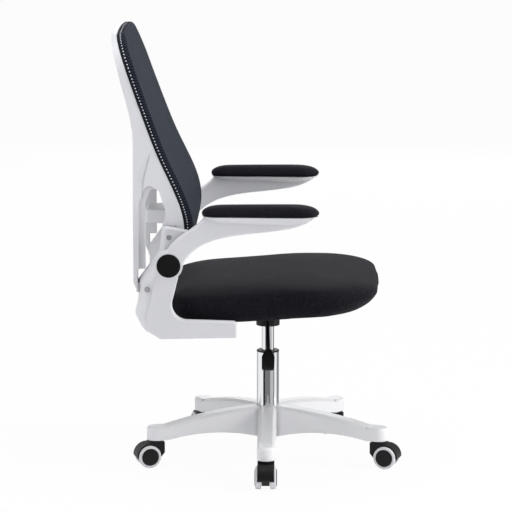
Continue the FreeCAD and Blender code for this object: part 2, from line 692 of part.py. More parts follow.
def seat_plate():
    """Pressed steel plate with a turned-down rim, a housing and the tube for the lift's taper."""
    x, y = PLATE_LENGTH / 2, PLATE_WIDTH / 2
    wall = PLATE_THICKNESS
    corners = [(-x, -y, PLATE_CORNER), (x, -y, PLATE_CORNER), (x, y, PLATE_CORNER), (-x, y, PLATE_CORNER)]
    inner = [(cx - math.copysign(wall, cx), cy - math.copysign(wall, cy), r - wall) for cx, cy, r in corners]
    tray = prism(flat(corners, at_height(-PLATE_RIM)), z=PLATE_RIM)
    tray = tray.cut(prism(flat(inner, at_height(-PLATE_RIM - 1)), z=PLATE_RIM + 1 - wall))
    for sx in (-1, 1):
        for sy in (-1, 1):
            place = V(sx * PLATE_BOLT_X, sy * PLATE_BOLT_Y, -PLATE_RIM)
            tray = tray.cut(Part.makeCylinder(BOLT_RADIUS + GAP, PLATE_RIM * 2, place))
    bx, by = BOX_LENGTH / 2, BOX_WIDTH / 2
    box = [(-bx, -by, BOX_CORNER), (bx, -by, BOX_CORNER), (bx, by, BOX_CORNER), (-bx, by, BOX_CORNER)]
    room = [(cx - math.copysign(wall, cx), cy - math.copysign(wall, cy), r - wall) for cx, cy, r in box]
    housing = prism(flat(box, at_height(-BOX_DEPTH)), z=BOX_DEPTH - wall)
    housing = housing.cut(prism(flat(room, at_height(-BOX_DEPTH + wall)), z=BOX_DEPTH))
    plate = seated(tray.fuse(housing))
    tube = Part.makeCylinder(SOCKET_RADIUS, CYLINDER_TOP - SOCKET_BOTTOM, V(0, 0, SOCKET_BOTTOM))
    plate = plate.fuse(tube)
    taper = turned([
        (0, SOCKET_BOTTOM - 1),
        (CYLINDER_RADIUS + SEATED, SOCKET_BOTTOM - 1),
        (CYLINDER_RADIUS + SEATED, SOCKET_BOTTOM),
        (CYLINDER_RADIUS + SEATED - CYLINDER_TAPER, CYLINDER_TOP),
        (CYLINDER_RADIUS + SEATED - CYLINDER_TAPER, CYLINDER_TOP + 1),
        (0, CYLINDER_TOP + 1),
    ])
    plate = plate.cut(taper)
    ear_inner = LEVER_BOSS_WIDTH / 2 + GAP
    roof = SEAT_HEIGHT - wall / 2
    ears = []
    for side in (-1, 1):
        left = min(side * ear_inner, side * (ear_inner + wall))
        corner = LEVER_PIVOT - V(0, LEVER_BOSS_RADIUS, LEVER_BOSS_RADIUS) + X_AXIS * left
        ears.append(Part.makeBox(wall, 2 * LEVER_BOSS_RADIUS, roof - corner.z, corner))
    plate = plate.multiFuse(ears)
    plate = plate.cut(rod(LEVER_PIN_RADIUS + SEATED, LEVER_PIVOT - X_AXIS * bx, LEVER_PIVOT + X_AXIS * bx))
    slot_half = LEVER_RADIUS + LEVER_SLOT
    slot_low = LEVER_Z - slot_half
    slot_top = SEAT_HEIGHT - wall - 1
    corner = V(-slot_half, -PLATE_WIDTH - by + wall * 2, slot_low)
    return plate.cut(Part.makeBox(2 * slot_half, PLATE_WIDTH, slot_top - slot_low, corner))


def seat_outline(side, front, back, shrink=1.0):
    """Corners of the seat seen from above, drawn in by the given amounts."""
    half_front = SEAT_HALF_FRONT - side
    half_back = SEAT_HALF_BACK - side
    nose = SEAT_FRONT - front
    tail = SEAT_BACK + back
    rf = SEAT_CORNER_FRONT * shrink
    rb = SEAT_CORNER_BACK * shrink
    bow = half_front * half_front / (2 * SEAT_BOW) * 0.5
    return [
        (tail, -half_back, rb),
        (nose, -half_front, rf),
        (nose + SEAT_BOW, 0, bow),
        (nose, half_front, rf),
        (tail, half_back, rb),
    ]


def seat_cushion():
    """Crowned cushion with drawn-in sides and a front edge that rolls under."""
    edge = SEAT_EDGE_HEIGHT
    layers = [
        (GAP, 17, 46, 22, 0.92),
        (0.09 * edge, 11, 34, 15, 0.94),
        (0.2 * edge, 5, 22, 8, 0.97),
        (0.38 * edge, 1, 9, 2, 0.99),
        (0.56 * edge, 0, 1, 0, 1.0),
        (0.72 * edge, 1, 4, 0, 1.0),
        (0.86 * edge, 4, 18, 4, 0.98),
        (0.95 * edge, 9, 40, 9, 0.96),
        (edge + 0.1 * SEAT_CROWN, 18, 70, 18, 0.92),
        (edge + 0.5 * SEAT_CROWN, 40, 105, 40, 0.86),
        (edge + 0.82 * SEAT_CROWN, 75, 145, 75, 0.76),
        (edge + SEAT_CROWN, 125, 185, 125, 0.58),
    ]
    outlines = [flat(seat_outline(side, front, back, k), at_height(z)) for z, side, front, back, k in layers]
    body = Part.makeLoft(outlines, True, True)
    recess = prism(flat(pan_outline(GAP), at_height(-1)), z=PAN_THICKNESS + 1 + GAP)
    return seated(body.cut(recess))


def pan_outline(grow=0.0):
    """Corners of the seat pan, drawn in from the cushion."""
    return seat_outline(PAN_INSET - grow, PAN_FRONT_INSET - grow, PAN_INSET + 6 - grow, 0.8)


def bolt_places():
    """Places of the bolts in the seat's own frame, each with the thickness that it clamps."""
    plate = [(sx * PLATE_BOLT_X, sy * PLATE_BOLT_Y, PLATE_THICKNESS) for sx in (-1, 1) for sy in (-1, 1)]
    feet = [(x, sy * FLANGE_BOLT_Y, FOOT_FLANGE) for x in FLANGE_BOLTS_X for sy in (-1, 1)]
    return plate + feet


def seat_pan():
    """Board inside the cushion that the plate and the brackets are bolted to."""
    pan = prism(flat(pan_outline(), at_height(0)), z=PAN_THICKNESS)
    for x, y, clamped in bolt_places():
        pan = pan.cut(Part.makeCylinder(BOLT_RADIUS + SEATED, PAN_THICKNESS, V(x, y, 0)))
    return seated(pan)


def seat_bolts():
    """Bolts through the plate and the brackets' flanges into the pan."""
    bolts = []
    for x, y, clamped in bolt_places():
        head = Part.makeCylinder(BOLT_HEAD_RADIUS, BOLT_HEAD_HEIGHT, V(x, y, -clamped - BOLT_HEAD_HEIGHT))
        shank = Part.makeCylinder(BOLT_RADIUS, clamped + BOLT_GRIP, V(x, y, -clamped))
        bolts.append(seated(head.fuse(shank)))
    return bolts


def bracket_profile(inset, bevel):
    """Corners of the bracket seen from the side, its rear edge drawn in and its front edge bevelled."""
    foot_low = seat_underside(FOOT_FRONT) - FOOT_DROP
    foot_top = foot_low + FOOT_HEIGHT
    heel = seat_underside(RISER_BACK) - FOOT_DROP + 11
    return [
        (RISER_BACK + 48, heel + bevel, 14),
        (FOOT_FRONT - bevel, foot_low + bevel, 3),
        (FOOT_FRONT - bevel, foot_top - bevel, 9),
        (PIVOT_X - 4 - bevel, foot_top + 4 - bevel, 33),
        (SOCKET_FRONT - bevel, SOCKET_TOP - SOCKET_SLOPE - bevel, 5),
        (SOCKET_BACK + 0.3 * inset, SOCKET_TOP - bevel, 7),
        (RISER_TURN[0] + 0.5 * inset, RISER_TURN[1], 34),
        (RISER_BACK + 1.4 * inset, SPINE_LAP_TOP, 3),
        (RISER_BACK + 1.05 * inset, heel + 80, 40),
        (RISER_BACK - 8 + inset, heel + 50, 24),
        (RISER_BACK + 10 + 0.6 * inset, heel + 16 + bevel, 24),
    ]


def bracket_section(share, bevel=0.0):
    """Outline of the right bracket at a share of its depth from the inner to the outer face."""
    depth = BRACKET_OUTER - BRACKET_BEVEL - BRACKET_INNER
    inset = BRACKET_ROUND * (1 - math.sqrt(1 - (0.98 * share) ** 2))
    return flat(bracket_profile(inset, bevel), at_side(-BRACKET_INNER - depth * share - bevel))


def bracket():
    """Side bracket on the right: foot under the seat, riser with the arm's pivot, socket for the back."""
    body = Part.makeLoft([bracket_section(share) for share in (0.0, 0.35, 0.65, 0.85, 1.0)], True, False)
    body = body.fuse(Part.makeLoft([bracket_section(1.0), bracket_section(1.0, BRACKET_BEVEL)], True, True))
    front = [
        (RISER_FRONT, 0),
        (0, 0),
        (0, SOCKET_TOP + 50),
        (RISER_FRONT + 14, SOCKET_TOP + 50),
        (RISER_FRONT + 14, SPINE_LAP_TOP),
        (RISER_FRONT, SPINE_LAP_TOP - 20),
    ]
    body = body.cut(prism(flat(front, at_side(-PLATE_FACE)), y=PLATE_FACE - BRACKET_INNER + 1))
    flange = prism(
        flat(
            [
                (RISER_FRONT - 4, -PLATE_FACE - 1, 0),
                (RISER_FRONT - 4, -FOOT_FLANGE_INNER, 12),
                (FOOT_FRONT - 6, -FOOT_FLANGE_INNER, 12),
                (FOOT_FRONT - 6, -PLATE_FACE - 1, 0),
            ],
            at_height(-FOOT_FLANGE),
        ),
        z=FOOT_FLANGE,
    )
    for x, y, clamped in bolt_places():
        flange = flange.cut(Part.makeCylinder(BOLT_RADIUS + GAP, FOOT_FLANGE * 3, V(x, y, -FOOT_FLANGE * 2)))
    body = body.fuse(seated(flange))
    pivot = V(PIVOT_X, 0, PIVOT_Z)
    bore_end = pivot - Y_AXIS * (BRACKET_OUTER - PIVOT_DEPTH)
    body = body.cut(rod(PIVOT_RADIUS + SEATED, bore_end, pivot - Y_AXIS * ARM_OUTER))
    body = body.cut([strut_tongue(GAP), spine_tongue(GAP), spine_foot(GAP)])
    for x, z in (UPPER_SCREW, LOWER_SCREW):
        body = body.cut(screw(x, z, GAP))
    return body


def strut_tongue(clearance=0.0):
    """Tongue under the right front strut, which sits in the bracket's socket."""
    outer = BACK_HALF - TONGUE_SHOULDER + clearance
    inner = BACK_HALF - FRAME_WALL + TONGUE_SHOULDER - clearance
    back = SOCKET_BACK + TONGUE_SHOULDER + 3 - clearance
    front = RISER_FRONT + 14 - TONGUE_SHOULDER + clearance
    low = SOCKET_TOP - TONGUE_LENGTH - clearance
    corners = [(back, low), (front, low), (front, SOCKET_TOP + 20), (back, SOCKET_TOP + 20)]
    return prism(flat(corners, at_side(-outer)), y=outer - inner)


def spine_foot(clearance):
    """Space that the lower end of the right spine takes behind the bracket."""
    inner = BACK_HALF - FRAME_WALL - clearance
    outer = BACK_HALF + clearance
    front = SPINE_BACK + SPINE_DEPTH + clearance
    low = SPINE_END - clearance
    corners = [(front, low), (front, SOCKET_TOP), (2 * SPINE_BACK, SOCKET_TOP), (2 * SPINE_BACK, low)]
    return prism(flat(corners, at_side(-outer)), y=outer - inner)


def spine_tongue(clearance=0.0):
    """Tongue on the front of the right spine, which the lower screw holds in the bracket."""
    outer = BACK_HALF - TONGUE_SHOULDER + clearance
    inner = BACK_HALF - FRAME_WALL + TONGUE_SHOULDER - clearance
    x, z = LOWER_SCREW
    half = LOWER_TONGUE / 2 + clearance
    back = SPINE_BACK + SPINE_DEPTH / 2
    corners = [(back, z - half), (x + half, z - half), (x + half, z + half), (back, z + half)]
    return prism(flat(corners, at_side(-outer)), y=outer - inner)


def screw(x, z, clearance=0.0):
    """Screw through the right bracket's side into the back frame, its head sunk in the hole."""
    face = BRACKET_OUTER - SCREW_SINK
    if clearance:
        hole = rod(SCREW_RADIUS + clearance, V(x, -face, z), V(x, -face + SCREW_LENGTH + clearance, z))
        return hole.fuse(rod(SCREW_HEAD_RADIUS + clearance, V(x, -face, z), V(x, -face - 60, z)))
    head = rod(SCREW_HEAD_RADIUS, V(x, -face - SCREW_HEAD_HEIGHT, z), V(x, -face, z))
    return head.fuse(rod(SCREW_RADIUS, V(x, -face, z), V(x, -face + SCREW_LENGTH, z)))


def back_line(shift=0.0):
    """Side view of the line where the frame meets the mesh carrier, as a smooth curve."""
    low = [(0.574, BACK_BOTTOM - BACK_START), (0.558, 0.878 * SOCKET_TOP), (0.5287, 0.9823 * SOCKET_TOP)]
    high = [
        (0.571, 0.1374),
        (0.6828, 0.341),
        (0.7795, 0.5445),
        (0.8671, 0.7481),
        (0.9094, 0.8499),
        (0.9517, 0.9517),
        (1.0, 1.1018),
    ]
    points = [(-BACK_LEAN * x, z) for x, z in low + [(x, SOCKET_TOP + BACK_RISE * z) for x, z in high]]
    curve = Part.BSplineCurve()
    curve.interpolate([V(x + shift, 0, z) for x, z in points])
    return curve


def back_strip(near, far):
    """Strip between two copies of the back line, seen from the side, as a wide solid."""
    rear = back_line(near)
    front = back_line(far)
    edges = [
        rear.toShape(),
        Part.LineSegment(rear.EndPoint, front.EndPoint).toShape(),
        front.toShape(),
        Part.LineSegment(front.StartPoint, rear.StartPoint).toShape(),
    ]
    strip = prism(Part.Wire(Part.__sortEdges__(edges)), y=2.4 * BACK_HALF)
    strip.translate(V(0, -1.2 * BACK_HALF, 0))
    return strip


def back_outline(inset, low_half, low, low_corner):
    """Corners of the back seen from the front, drawn in by an even width."""
    arch = (BACK_HALF_TOP ** 2) / (2 * BACK_ARCH) * 0.5
    corner = BACK_CORNER - inset
    return [
        (-low_half + inset, low, low_corner),
        (-BACK_HALF + inset, BACK_WAIST, WAIST_ROUND),
        (-BACK_HALF_TOP + inset, BACK_TOP - inset, corner),
        (0, BACK_TOP + BACK_ARCH - inset, arch),
        (BACK_HALF_TOP - inset, BACK_TOP - inset, corner),
        (BACK_HALF - inset, BACK_WAIST, WAIST_ROUND),
        (low_half - inset, low, low_corner),
    ]


def through_back(outline):
    """Body with the given front outline, through the whole depth of the back."""
    return prism(flat(outline, at_depth(-2 * BACK_LEAN)), x=2 * BACK_LEAN)


def carrier_body(inset):
    """Full body of the mesh carrier's outline."""
    corner = BACK_CORNER_LOW - inset
    outline = back_outline(inset, BACK_HALF_BOTTOM, BACK_BOTTOM + inset, corner)
    return through_back(outline)


def mesh_sheet(clearance=0.0):
    """Stretched mesh, or with a clearance the groove that grips its edge."""
    front = BAND_DEPTH - MESH_SETBACK + clearance
    strip = back_strip(front - MESH_THICKNESS - 2 * clearance, front)
    return strip.common(carrier_body(BAND_WIDTH - MESH_GRIP - clearance))


def mesh_band():
    """Carrier ring round the mesh, with the groove that holds it."""
    ring = carrier_body(0.0).cut(carrier_body(BAND_WIDTH))
    return back_strip(0.0, BAND_DEPTH).common(ring).cut(mesh_sheet(SEATED))


def frame_side():
    """Side view of the frame: upper rim, front strut and rear spine round an open triangle."""
    front = back_line()
    heel = V(SPINE_BACK, 0, SPINE_END + SPINE_CHAMFER)
    rear = Part.BSplineCurve()
    shares = [
        (0.8761, 0.5827),
        (0.9245, 0.7354),
        (0.9668, 0.8702),
        (0.997, 0.9771),
        (1.0211, 1.1018),
    ]
    points = [(SPINE_BACK, 0.43)] + [(-BACK_LEAN * x, z) for x, z in shares]
    rear.interpolate([V(x, 0, SOCKET_TOP + BACK_RISE * z) for x, z in points])
    edges = [
        Part.LineSegment(heel, rear.StartPoint).toShape(),
        rear.toShape(),
        Part.LineSegment(rear.EndPoint, front.EndPoint).toShape(),
        front.toShape(),
        Part.LineSegment(front.StartPoint, V(RISER_BACK, 0, front.StartPoint.z)).toShape(),
        Part.LineSegment(V(RISER_BACK, 0, front.StartPoint.z), V(RISER_BACK, 0, SPINE_END)).toShape(),
        Part.LineSegment(V(RISER_BACK, 0, SPINE_END), heel).toShape(),
    ]
    side = prism(Part.Wire(Part.__sortEdges__(edges)), y=2.4 * BACK_HALF)
    side.translate(V(0, -1.2 * BACK_HALF, 0))
    return side


def back_frame():
    """White frame: an arch of side panels and top rim, whose sides split into strut and spine."""
    outer = through_back(back_outline(0.0, BACK_HALF, 0.9 * SPINE_END, 0))
    inner = through_back(back_outline(FRAME_WALL, BACK_HALF, 0.88 * SPINE_END, 0))
    frame = frame_side().common(outer.cut(inner))
    spine_front = SPINE_BACK + SPINE_DEPTH
    depth = BACK_HALF - FLANGE_SETBACK
    opening = prism(window(spine_front + FLANGE_DEPTH), y=2 * BACK_HALF)
    opening.translate(V(0, -BACK_HALF, 0))
    recess = prism(window(spine_front), y=FLANGE_SETBACK * 2)
    recess.translate(V(0, -depth - FLANGE_SETBACK * 2, 0))
    lap = prism(flat(below_window(spine_front), at_side(-BACK_HALF)), y=2 * BACK_HALF)
    step = strut_step(spine_front)
    frame = frame.cut([opening, recess, mirrored(recess), lap, step, mirrored(step)])
    tongues = [strut_tongue(), spine_tongue()]
    frame = frame.multiFuse(tongues + [mirrored(tongue) for tongue in tongues])
    for x, z in (UPPER_SCREW, LOWER_SCREW):
        tip = V(x, -BRACKET_OUTER + SCREW_SINK + SCREW_LENGTH + GAP, z)
        hole = rod(SCREW_RADIUS + SEATED, V(x, -BRACKET_OUTER, z), tip)
        frame = frame.cut([hole, mirrored(hole)])
    return frame.removeSplitter()


def strut_step(rear):
    """Thin layer off the right strut's side, which lets it come out from under the upper panel."""
    tx, tz = CREASE_TOP
    mx, mz = CREASE_MIDDLE
    ahead = (2 * tx - mx, 2 * tz - mz)
    low = 0.8 * SPINE_END
    corners = [ahead, (mx, mz), (rear, CREASE_LOW), (rear, low), (0, low), (0, ahead[1])]
    return prism(flat(corners, at_side(-BACK_HALF - STRUT_STEP)), y=2 * STRUT_STEP)


def below_window(rear):
    """Side view of the space that the spine's flange leaves free for the bracket's sloping rear edge."""
    slope = (RISER_TURN[1] - SPINE_LAP_TOP) / (RISER_TURN[0] - RISER_BACK)
    lap = SPINE_LAP_TOP + LAP_GAP + slope * (rear - RISER_BACK)
    top = RISER_TURN[1] + LAP_GAP
    return [(rear, 0), (0, 0), (0, top), (RISER_TURN[0], top), (rear, lap)]


def window(rear):
    """Side view of the open triangle between strut and spine, from the given rear edge."""
    return flat(
        [
            (rear, 0.8 * SPINE_END),
            (0.6 * SOCKET_FRONT, 0.8 * SPINE_END),
            (0.6 * SOCKET_FRONT, SOCKET_TOP - SOCKET_SLOPE),
            (SOCKET_BACK, SOCKET_TOP),
            (SOCKET_BACK + 10, SOCKET_TOP + 20, 40),
            (rear + WINDOW_WIDTH, WINDOW_TOP, 12),
            (rear, WINDOW_TOP - WINDOW_SLOPE, 60),
        ],
        at_side(0),
    )


def lumbar_support():
    """Tapered block behind the mesh on a bar between the brackets."""
    top = LUMBAR_BOTTOM + LUMBAR_HEIGHT
    plan = [
        (LUMBAR_BACK, -LUMBAR_HALF_BACK, LUMBAR_ROUND),
        (LUMBAR_FRONT, -LUMBAR_HALF_FRONT, LUMBAR_ROUND),
        (LUMBAR_FRONT, LUMBAR_HALF_FRONT, LUMBAR_ROUND),
        (LUMBAR_BACK, LUMBAR_HALF_BACK, LUMBAR_ROUND),
    ]
    block = prism(flat(plan, at_height(LUMBAR_BOTTOM)), z=LUMBAR_HEIGHT)
    block = block.makeFillet(LUMBAR_ROUND / 2, [e for e in block.Edges if e.BoundBox.ZMin > top - 0.1])
    low = LUMBAR_BOTTOM + (LUMBAR_HEIGHT - LUMBAR_BAR_HEIGHT) / 2
    corner = V(LUMBAR_FRONT - LUMBAR_BAR, -BRACKET_INNER, low)
    return block.fuse(Part.makeBox(LUMBAR_BAR, 2 * BRACKET_INNER, LUMBAR_BAR_HEIGHT, corner)).removeSplitter()


def pivot_pin():
    """Headed pin in the right bracket, on which the arm folds up."""
    inner = -(BRACKET_OUTER - PIVOT_DEPTH)
    outer = -(CAP_FACE - CAP_HEIGHT - CAP_DOME)
    pin = rod(PIVOT_RADIUS, V(PIVOT_X, inner, PIVOT_Z), V(PIVOT_X, outer + GAP, PIVOT_Z))
    face = V(PIVOT_X, outer + GAP, PIVOT_Z)
    return pin.fuse(rod(PIVOT_HEAD_RADIUS, face, face + Y_AXIS * PIVOT_HEAD_HEIGHT))


def arm():
    """Right arm: round boss on the pivot, curved beam and flared tray under the pad."""
    lower = Part.BSplineCurve()
    lower.interpolate([V(x, 0, z) for x, z in (
        (PIVOT_X + 27, PIVOT_Z - 4),
        (PIVOT_X + 55, PIVOT_Z + 33),
        (PIVOT_X + 92, PIVOT_Z + 53),
        (PIVOT_X + 152, PIVOT_Z + 66),
        (PIVOT_X + 236, PIVOT_Z + 76),
        (PAD_FRONT - 30, PAD_BOTTOM - 16),
        (PAD_FRONT - 6, PAD_BOTTOM),
    )])
    upper = Part.BSplineCurve()
    upper.interpolate([V(x, 0, z) for x, z in (
        (PAD_BACK + 10, PAD_BOTTOM),
        (PIVOT_X + 48, PIVOT_Z + 77),
        (PIVOT_X + 21, PIVOT_Z + 58),
        (PIVOT_X - 6, PIVOT_Z + 27),
    )])
    edges = [
        lower.toShape(),
        Part.LineSegment(lower.EndPoint, upper.StartPoint).toShape(),
        upper.toShape(),
        Part.LineSegment(upper.EndPoint, lower.StartPoint).toShape(),
    ]
    beam = prism(Part.Wire(edges), y=ARM_OUTER - ARM_INNER)
    beam.translate(V(0, -ARM_OUTER, 0))
    rims = [e for e in beam.Edges if e.BoundBox.YLength < 0.1 and e.Length > ARM_BOSS_RADIUS]
    beam = beam.makeFillet(ARM_EDGE, [e for e in rims if e.Curve.TypeId == "Part::GeomBSplineCurve"])
    pivot = V(PIVOT_X, 0, PIVOT_Z)
    boss = rod(ARM_BOSS_RADIUS, pivot - Y_AXIS * (BRACKET_OUTER + GAP), pivot - Y_AXIS * ARM_OUTER)
    tray = pad_loft([
        (PAD_BOTTOM - TRAY_DEPTH, 22, 46),
        (PAD_BOTTOM - 0.7 * TRAY_DEPTH, 15, 30),
        (PAD_BOTTOM - 0.35 * TRAY_DEPTH, 7, 14),
        (PAD_BOTTOM - 0.1 * TRAY_DEPTH, 2, 4),
        (PAD_BOTTOM, 1, 2),
    ])
    body = boss.multiFuse([beam, tray])
    bore_end = CAP_FACE - CAP_HEIGHT - CAP_DOME
    body = body.cut(rod(PIVOT_RADIUS + RUNNING, pivot, pivot - Y_AXIS * bore_end))
    head_room = PIVOT_HEAD_HEIGHT + 2 * GAP
    outside = pivot - Y_AXIS * (ARM_OUTER + CAP_HEIGHT)
    body = body.cut(rod(PIVOT_HEAD_RADIUS + GAP, pivot - Y_AXIS * (bore_end - head_room), outside))
    return body.cut(rod(CAP_RADIUS + SEATED, pivot - Y_AXIS * bore_end, outside))


def pad_outline(inset, ends):
    """Corners of the right arm pad seen from above, drawn in at the sides and at the ends."""
    back = PAD_HALF_BACK - inset
    front = PAD_HALF_FRONT - inset
    return [
        (PAD_BACK + ends, -PAD_MIDDLE - back, 0.93 * back),
        (PAD_FRONT - ends, -PAD_MIDDLE - front, 0.96 * front),
        (PAD_FRONT - ends, -PAD_MIDDLE + front, 0.96 * front),
        (PAD_BACK + ends, -PAD_MIDDLE + back, 0.93 * back),
    ]


def pad_loft(layers):
    """Loft through pad outlines given as (height, inset at the sides, inset at the ends)."""
    outlines = [flat(pad_outline(side, ends), at_height(z)) for z, side, ends in layers]
    return Part.makeLoft(outlines, True, True)


def arm_pad():
    """Upholstered pad on the right arm, flat below and crowned above."""
    low = PAD_BOTTOM + GAP
    return pad_loft([
        (low, 3, 4),
        (low + 0.12 * PAD_HEIGHT, 1, 1),
        (low + 0.28 * PAD_HEIGHT, 0, 0),
        (low + 0.5 * PAD_HEIGHT, 2, 6),
        (low + 0.7 * PAD_HEIGHT, 5, 17),
        (low + 0.86 * PAD_HEIGHT, 10, 32),
        (low + 0.96 * PAD_HEIGHT, 17, 52),
        (low + PAD_HEIGHT, 24, 75),
    ])


def pivot_cap():
    """Round cover in the right arm's boss, with a slightly domed face."""
    inner = -(CAP_FACE - CAP_HEIGHT - CAP_DOME)
    wire = flat(
        [
            (0, inner),
            (CAP_RADIUS, inner),
            (CAP_RADIUS, -ARM_OUTER - CAP_DOME * 0.3),
            (CAP_RADIUS - 3, -CAP_FACE, 2),
            (0, -CAP_FACE),
        ],
        lambda p: V(PIVOT_X, p.y, PIVOT_Z + p.x),
    )
    return Part.Face(wire).revolve(V(PIVOT_X, 0, PIVOT_Z), Y_AXIS, 360)


def main():
    os.makedirs("parts", exist_ok=True)
    save("star_base", star_base())
    save("caster_stems", *[round_leg(stem(), leg) for leg in range(LEG_COUNT)])
    hood = caster_hood()
    axle = caster_axle()
    for leg in range(LEG_COUNT):
        number = leg + 1
        save(f"caster_hood_{number}", at_caster(hood, leg))
        save(f"caster_axle_{number}", at_caster(axle, leg))
        for side, letter in ((-1, "a"), (1, "b")):
            save(f"wheel_hub_{number}_{letter}", at_caster(wheel_hub(side), leg))
            save(f"wheel_tyre_{number}_{letter}", at_caster(wheel_tyre(side), leg))
    save("column_tube", column_tube())
    save("column_bush", column_bush())
    save("thrust_bearing", thrust_bearing())
    save("piston_rod", piston_rod())
    save("rod_clip", rod_clip())
    save("gas_cylinder", gas_cylinder())
    save("valve_pin", valve_pin())
    save("lever_rod", lever_rod())
    save("lever_paddle", lever_paddle())
    save("seat_plate", seat_plate())
    save("lever_pin", lever_pin())
    save("seat_pan", seat_pan())
    save("seat_cushion", seat_cushion())
    save("seat_bolts", *seat_bolts())
    save("back_frame", back_frame())
    save("back_mesh", mesh_sheet())
    save("mesh_band", mesh_band())
    save("lumbar_support", lumbar_support())
    screws = [screw(x, z) for x, z in (UPPER_SCREW, LOWER_SCREW)]
    pin = pivot_pin()
    save("back_screws", *screws, *[mirrored(s) for s in screws])
    save("arm_pivot_pins", pin, mirrored(pin))
    pairs = {"bracket": bracket(), "arm": arm(), "arm_pad": arm_pad(), "pivot_cap": pivot_cap()}
    for name, right in pairs.items():
        save(name + "_right", right)
        save(name + "_left", mirrored(right))


main()
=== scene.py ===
import json
import logging
from dataclasses import dataclass, field
from enum import Enum

import bpy
import numpy as np
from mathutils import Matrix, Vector


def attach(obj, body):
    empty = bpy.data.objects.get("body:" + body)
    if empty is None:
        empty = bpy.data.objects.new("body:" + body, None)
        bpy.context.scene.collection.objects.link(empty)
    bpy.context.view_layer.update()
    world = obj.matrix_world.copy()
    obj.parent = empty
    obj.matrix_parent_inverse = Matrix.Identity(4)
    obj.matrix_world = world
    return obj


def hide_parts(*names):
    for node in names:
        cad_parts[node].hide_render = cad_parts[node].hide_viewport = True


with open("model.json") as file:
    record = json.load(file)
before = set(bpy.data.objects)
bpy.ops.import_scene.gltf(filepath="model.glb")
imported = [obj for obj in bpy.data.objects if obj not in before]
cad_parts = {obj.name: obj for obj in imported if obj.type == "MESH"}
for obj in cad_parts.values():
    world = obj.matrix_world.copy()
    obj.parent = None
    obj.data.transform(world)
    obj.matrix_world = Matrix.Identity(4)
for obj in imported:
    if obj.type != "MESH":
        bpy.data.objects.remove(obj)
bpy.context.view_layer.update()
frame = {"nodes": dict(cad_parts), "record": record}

LOG = logging.getLogger("office_chair")

Array = np.ndarray
Piece = bpy.types.Object
Socket = bpy.types.NodeSocket
Triple = tuple[float, float, float]
Line = tuple[tuple[float, float], ...]

# Rings between the edge of a closed end and its pole
DOME_RINGS = 7
# Least length that a move is divided by
TINY = 1e-9
# Samples of the rounded look of edges and of the painted shade in hollows
BEVEL_SAMPLES = 6
HOLLOW_SAMPLES = 8
# Numbers of the colour inputs and the colour output of Blender's Mix node
MIX_COLOURS = (6, 7)
MIX_RESULT = 2
# Cosine of the turn at which the painted highlight on edges begins and is full
HIGHLIGHT_TURN = (0.99, 0.8)
# Period of Blender's wave pattern at scale 1
WAVE_PERIOD = 0.314
# Middle and upper end (x, z) of the crease below the frame's upper panel
CREASE: Line = ((-0.2611, 0.6627), (-0.2458, 0.7226))
# Nodes that share the finish of the back's shell
SHELL_NODES = ("back_frame", "bracket_right", "bracket_left", "panel_edge_right", "panel_edge_left")


class Slot(Enum):
    """The record's material slots."""

    WHITE = "white_plastic"
    BLACK = "black_plastic"
    KNIT = "seat_fabric"
    NET = "mesh_fabric"
    CHROME = "chrome"
    STEEL = "steel"
    PAINT = "black_metal"
    TREAD = "grey_tread"


class Side(Enum):
    """The two sides of the chair, as the sign of Y."""

    RIGHT = -1
    LEFT = 1


def spline(knots: Array, values: Array, at: Array) -> Array:
    """Natural cubic spline: piecewise cubics whose slope and curvature agree at every knot.

    Args:
        knots: rising parameter values, shape (n,).
        values: values at the knots, shape (n,) or (n, k).
        at: parameters to read the curve at, shape (m,).

    Returns:
        The curve's values, shape (m,) or (m, k).
    """
    knots = np.asarray(knots, float)
    values = np.asarray(values, float)
    flat = values.reshape(len(knots), -1)
    step = np.diff(knots)
    slope = np.diff(flat, axis=0) / step[:, None]
    system = np.eye(len(knots))
    inner = np.arange(1, len(knots) - 1)
    system[inner, inner - 1] = step[:-1]
    system[inner, inner] = 2 * (step[:-1] + step[1:])
    system[inner, inner + 1] = step[1:]
    right = np.zeros_like(flat)
    right[1:-1] = 6 * np.diff(slope, axis=0)
    bend = np.linalg.solve(system, right)
    i = np.clip(np.searchsorted(knots, at) - 1, 0, len(knots) - 2)
    h = step[i][:, None]
    a = (knots[i + 1] - at)[:, None] / h
    b = 1 - a
    curved = ((a**3 - a) * bend[i] + (b**3 - b) * bend[i + 1]) * h**2 / 6
    return (a * flat[i] + b * flat[i + 1] + curved).reshape((len(at),) + values.shape[1:])


def run_length(points: Array) -> Array:
    """Length along a line of points: the running sum of its steps, 0 at the first point."""
    return np.concatenate([[0], np.cumsum(np.linalg.norm(np.diff(points, axis=0), axis=1))])


def smooth_levels(rows: Array, count: int) -> Array:
    """Levels of a padded form at even steps of its profile's length: a spline through the rows."""
    length = run_length(rows[:, :2])
    return spline(length, rows, np.linspace(0, length[-1], count))


def corner_points(*corners: tuple[Array, Array]) -> Array:
    """Corners of n outlines, shape (n, k, 2), from both coordinates of each corner, shape (n,)."""
    return np.stack([np.stack(corner, -1) for corner in corners], 1)


